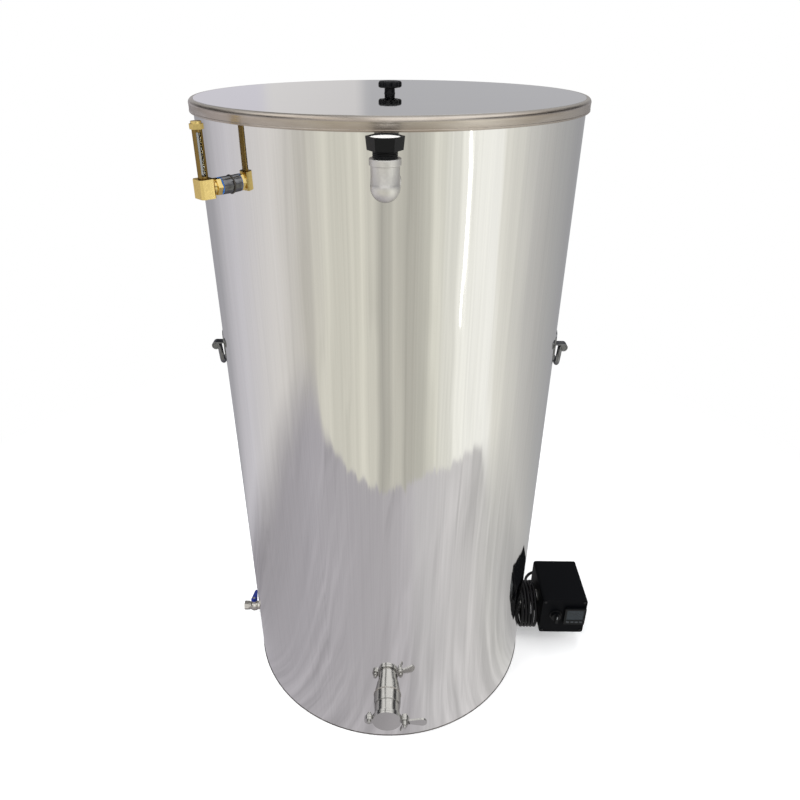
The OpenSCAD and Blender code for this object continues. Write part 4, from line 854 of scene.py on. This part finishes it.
class TANK_OT_lid(TankOperator, bpy.types.Operator):
    """Makes the lid with its band and knob"""
    bl_idname = "honey_tank.lid"
    bl_label = "Lid"

    def build(self, sizes):
        low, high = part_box("lid_panel")
        under, top, edge = low.z / MM, high.z / MM, high.x / MM
        hole = 3.1
        panel = [(hole, under), (edge, under), (edge, top - 0.3), (edge - 0.3, top), (edge - 90, top),
                 (edge - 200, top), (hole, top)]
        stands_for(new_piece("lid_panel_look", lathe(panel), "lid"), "lid_panel")
        # The band has a hemmed lower edge, a round shoulder and a fine line where it meets the panel
        out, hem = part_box("lid_band")[1].x / MM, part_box("lid_band")[0].z / MM
        thick = 1.5
        bend = out - edge - thick
        turns = [(cos(radians(9 * i)), sin(radians(9 * i))) for i in range(11)]
        shoulder = [(out - bend + bend * x, top - bend + bend * z) for x, z in turns]
        hollow = [(out - bend + (bend - thick) * x, top - bend + (bend - thick) * z) for x, z in reversed(turns)]
        band = [(out - thick, hem + 0.6), (out - 1.1, hem), (out - 0.4, hem), (out, hem + 0.5), (out, hem + 2.2),
                (out - 0.25, hem + 2.5), (out - 0.3, hem + 2.8), (out - 0.3, hem + 3.2), (out - 0.3, top - bend - 2.6),
                (out - 0.25, top - bend - 2), (out - 0.05, top - bend - 1), (out, top - bend - 0.5)]
        band += shoulder + [(edge + 0.6, top), (edge + 0.1, top - 0.4), (edge + 0.05, top - thick)] + hollow
        stands_for(new_piece("lid_band_look", lathe(band), "band"), "lid_band")
        worked("lid_knob_screw", "turned", sizes.turned_edge)
        self.make_knob()

    def make_knob(self):
        """A lobed knob on a round stem."""
        low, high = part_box("lid_knob")
        reach, count, lobes, dip_most, crown = high.x / MM, 140, 7, 3.4, 0.9
        stem, head, top = 8.4, low.z / MM + 8, high.z / MM
        # Height, radius, and the share of the lobes that shows there
        rings = ((low.z / MM, stem + 0.6, 0), (low.z / MM + 1, stem, 0), (head - 1, stem - 0.3, 0),
                 (head, stem + 3, 0.2), (head + 0.3, reach - 2.4, 0.8), (head + 1.6, reach - 0.4, 1),
                 (head + 2.6, reach, 1), (top - 3, reach, 1), (top - 1.4, reach - 0.7, 1),
                 (top - 0.3, reach - 2.6, 0.85), (top, reach - 6, 0.4), (top - 0.3, 8, 0), (top - 0.4, 2, 0))
        skin = []
        for z, r, lobed in rings:
            ring = []
            for k in range(count):
                a = tau * k / count
                dip = dip_most * lobed * (1 - abs(cos(lobes * a / 2)) ** crown)
                ring.append(Vector((cos(a), sin(a), 0)) * (r - dip) * MM + Vector((0, 0, z * MM)))
            skin.append(ring)
        stands_for(new_piece("lid_knob_look", loft(skin), "plastic"), "lid_knob")


class TANK_OT_gate(TankOperator, bpy.types.Operator):
    """Makes the honey gate with its outlet"""
    bl_idname = "honey_tank.gate"
    bl_label = "Honey gate"

    def build(self, sizes):
        axis_at = middle("outlet_collar")
        for node in ("outlet_pipe", "outlet_collar", "gate_body"):
            true_round(worked(node, "turned", sizes.turned_edge), axis_at, (0, 1, 0))
        worked("gate_plate", "turned", 1.5 * sizes.cast_edge, 4)
        worked("gate_wing_nut", "turned", sizes.turned_edge, 3)
        worked("gate_seal", "gasket", sizes.sheet_edge)
        for node in ("gate_pivot_screw", "gate_pivot_nut", "gate_clamp_bolt"):
            worked(node, "turned", sizes.sheet_edge)
        # Threads at the bolts' ends: end of the box, millimetres from there to the start, and direction along Y
        bolt_r, run = 2.75 * MM, 3.2 * MM
        for name, node, end, back, way in (("pivot_thread", "gate_pivot_screw", 1, 3.6, 1),
                                           ("clamp_thread", "gate_clamp_bolt", 0, 3.7, -1)):
            at = middle(node)
            at.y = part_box(node)[end].y - way * back * MM
            thread(name, node, "turned", bolt_r, sizes.bolt_pitch, at, run, (0, way, 0))


class TANK_OT_filler(TankOperator, bpy.types.Operator):
    """Makes the water filler"""
    bl_idname = "honey_tank.filler"
    bl_label = "Water filler"

    def build(self, sizes):
        worked("fill_nipple", "turned", sizes.turned_edge)
        worked("fill_elbow", "cast", sizes.cast_edge, 3)
        worked("fill_vent_disc", "disc", sizes.sheet_edge)
        at = middle("fill_vent_disc")
        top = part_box("fill_elbow")[1].z
        # The plug's hexagon has the draught of its mould: it is narrower at its foot
        foot, head, foot_share = top + 8.4 * MM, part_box("fill_plug")[1].z, 0.93
        plug = copy_of("fill_plug")
        for v in plug.verts:
            if v.co.z > foot:
                share = foot_share + (1 - foot_share) * (v.co.z - foot) / (head - foot)
                v.co.xy = at.xy + (v.co.xy - at.xy) * share
        stands_for(round_edges(new_piece("fill_plug_look", plug, "plastic"), sizes.moulded_edge, 3), "fill_plug")
        thread("fill_plug_thread", "fill_plug", "plastic", 14.4 * MM, sizes.pipe_pitch,
               (at.x, at.y, top + 0.9 * MM), 6.6 * MM, (0, 0, 1))


class TANK_OT_gauge(TankOperator, bpy.types.Operator):
    """Makes the water level gauge"""
    bl_idname = "honey_tank.gauge"
    bl_label = "Level gauge"

    def build(self, sizes):
        worked("sight_coupling", "forged", sizes.turned_edge)
        worked("sight_seal_ring", "seal", sizes.sheet_edge)
        worked("sight_nipple", "brass", sizes.turned_edge)
        worked("sight_elbow", "brass", 2.6 * sizes.cast_edge, 4)
        worked("sight_guard", "tarnish", sizes.sheet_edge)
        worked("sight_glass", "glass", 0.5 * sizes.sheet_edge)
        worked("sight_cap", "brass", sizes.turned_edge)


class TANK_OT_drain(TankOperator, bpy.types.Operator):
    """Makes the jacket's drain valve"""
    bl_idname = "honey_tank.drain"
    bl_label = "Jacket drain"

    def build(self, sizes):
        worked("drain_coupling", "turned", sizes.turned_edge)
        for node in ("drain_valve_body", "drain_valve_end", "drain_ball"):
            worked(node, "nickel", sizes.turned_edge)
        # The dipped lever's coat covers its nut
        worked("drain_lever", "lever", sizes.cast_edge, 3)
        worked("drain_lever_nut", "lever", sizes.turned_edge, 3)


class TANK_OT_handles(TankOperator, bpy.types.Operator):
    """Makes the two bail handles"""
    bl_idname = "honey_tank.handles"
    bl_label = "Handles"

    def build(self, sizes):
        for side in ("left", "right"):
            worked(side + "_handle_plate", "forged", sizes.turned_edge)
            worked(side + "_handle_bail", "forged", sizes.turned_edge)


class TANK_OT_heater(TankOperator, bpy.types.Operator):
    """Makes the heater"""
    bl_idname = "honey_tank.heater"
    bl_label = "Heater"

    def build(self, sizes):
        worked("heater_coupling", "turned", sizes.turned_edge)
        worked("heater_plug", "cast", sizes.turned_edge)
        worked("heating_element", "dark", 0)
        worked("temperature_probe", "turned", sizes.turned_edge)


class TANK_OT_controls(TankOperator, bpy.types.Operator):
    """Makes the control box, its panel and what is on it"""
    bl_idname = "honey_tank.controls"
    bl_label = "Controls"

    def build(self, sizes):
        for node in ("control_box", "control_panel"):
            worked(node, "case", sizes.moulded_edge)
        for node in ("controller", "selector_switch", "selector_knob"):
            worked(node, "plastic", sizes.moulded_edge)
        worked("display_window", "window", 0.3 * sizes.sheet_edge)
        for i in (1, 2, 3, 4):
            worked(f"key_{i}", "key", sizes.turned_edge)
        low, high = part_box("panel_screws")
        head, rise = 3.2 * MM, 1.2 * MM
        screws = grown("panel_screws_look", screw_tree(), "dark", Width=high.x - low.x - 2 * head,
                       Height=high.z - low.z - 2 * head, Head=head, Rise=rise)
        at = middle("panel_screws")
        screws.data.transform(Matrix.Translation((at.x, low.y + rise / 2, at.z)))
        stands_for(screws, "panel_screws")
        self.mark_selector()
        self.set_digits()

    def mark_selector(self):
        """A white index line on the selector's grip."""
        low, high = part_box("selector_knob")
        at = middle("selector_knob")
        section = ((-0.7, 0.2), (0.7, 0.2), (0.7, -0.05), (-0.7, -0.05))
        rings = [[Vector((at.x + x * MM, low.y + y * MM, z)) for x, y in section]
                 for z in (at.z + 2 * MM, high.z - 2 * MM)]
        extra(new_piece("selector_mark", loft(rings), "mark"), "selector_knob")

    def set_digits(self):
        """Unlit number segments behind the display's window, in two rows."""
        low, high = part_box("display_window")
        proud = 0.03 * MM
        bm = bmesh.new()
        # Centres of a digit's seven bars, as shares of its height, and whether each stands upright
        bars = ((0, 0.5, 0), (0, 0, 0), (0, -0.5, 0), (-0.25, 0.25, 1), (0.25, 0.25, 1), (-0.25, -0.25, 1),
                (0.25, -0.25, 1))
        # Height of a row's digits, its place up the window, and the digits' spacing and count
        for tall, up, step, count in ((9 * MM, 0.64, 8 * MM, 4), (4.6 * MM, 0.2, 5 * MM, 5)):
            for d in range(count):
                at_x = (low.x + high.x) / 2 + (d - (count - 1) / 2) * step
                at_z = low.z + up * (high.z - low.z)
                for x, z, upright in bars:
                    long, thin = 0.2 * tall, 0.045 * tall
                    w, h = (thin, long) if upright else (long, thin)
                    cx, cz = at_x + x * tall, at_z + z * tall
                    corners = ((-w, -h), (w, -h), (w, h), (-w, h))
                    bm.faces.new([bm.verts.new((cx + dx, low.y - proud, cz + dz)) for dx, dz in corners])
        made = bmesh.ops.extrude_face_region(bm, geom=bm.faces[:])["geom"]
        backs = [v for v in made if isinstance(v, bmesh.types.BMVert)]
        bmesh.ops.translate(bm, vec=(0, 2 * proud, 0), verts=backs)
        bmesh.ops.recalc_face_normals(bm, faces=bm.faces)
        extra(new_piece("display_digits", bm, "digits"), "display_window")


OPERATORS = (TANK_OT_stage, TANK_OT_cord, TANK_OT_walls, TANK_OT_lid, TANK_OT_gate, TANK_OT_filler, TANK_OT_gauge,
             TANK_OT_drain, TANK_OT_handles, TANK_OT_heater, TANK_OT_controls)


class TANK_PT_panel(bpy.types.Panel):
    """Lists the tank's pieces and settings in the sidebar"""
    bl_idname = "TANK_PT_panel"
    bl_label = "Honey settling tank"
    bl_space_type = "VIEW_3D"
    bl_region_type = "UI"
    bl_category = "Tank"

    def draw(self, context):
        for group in (context.scene.tank_sizes, context.scene.tank_colours):
            for key in group.__annotations__:
                self.layout.prop(group, key)
        for operator in OPERATORS:
            self.layout.operator(operator.bl_idname)


CLASSES = (TankSizes, TankColours, *OPERATORS, TANK_PT_panel)


def register():
    for cls in CLASSES:
        bpy.utils.register_class(cls)
    bpy.types.Scene.tank_sizes = PointerProperty(type=TankSizes)
    bpy.types.Scene.tank_colours = PointerProperty(type=TankColours)


def unregister():
    del bpy.types.Scene.tank_colours
    del bpy.types.Scene.tank_sizes
    for cls in reversed(CLASSES):
        bpy.utils.unregister_class(cls)


def main():
    register()
    FINISHES.update(make_finishes(bpy.context.scene))
    thread_tree()
    bpy.ops.honey_tank.stage()
    bpy.ops.honey_tank.cord()
    bpy.ops.honey_tank.walls()
    bpy.ops.honey_tank.lid()
    bpy.ops.honey_tank.gate()
    bpy.ops.honey_tank.filler()
    bpy.ops.honey_tank.gauge()
    bpy.ops.honey_tank.drain()
    bpy.ops.honey_tank.handles()
    bpy.ops.honey_tank.heater()
    bpy.ops.honey_tank.controls()


if __name__ == "__main__":
    main()
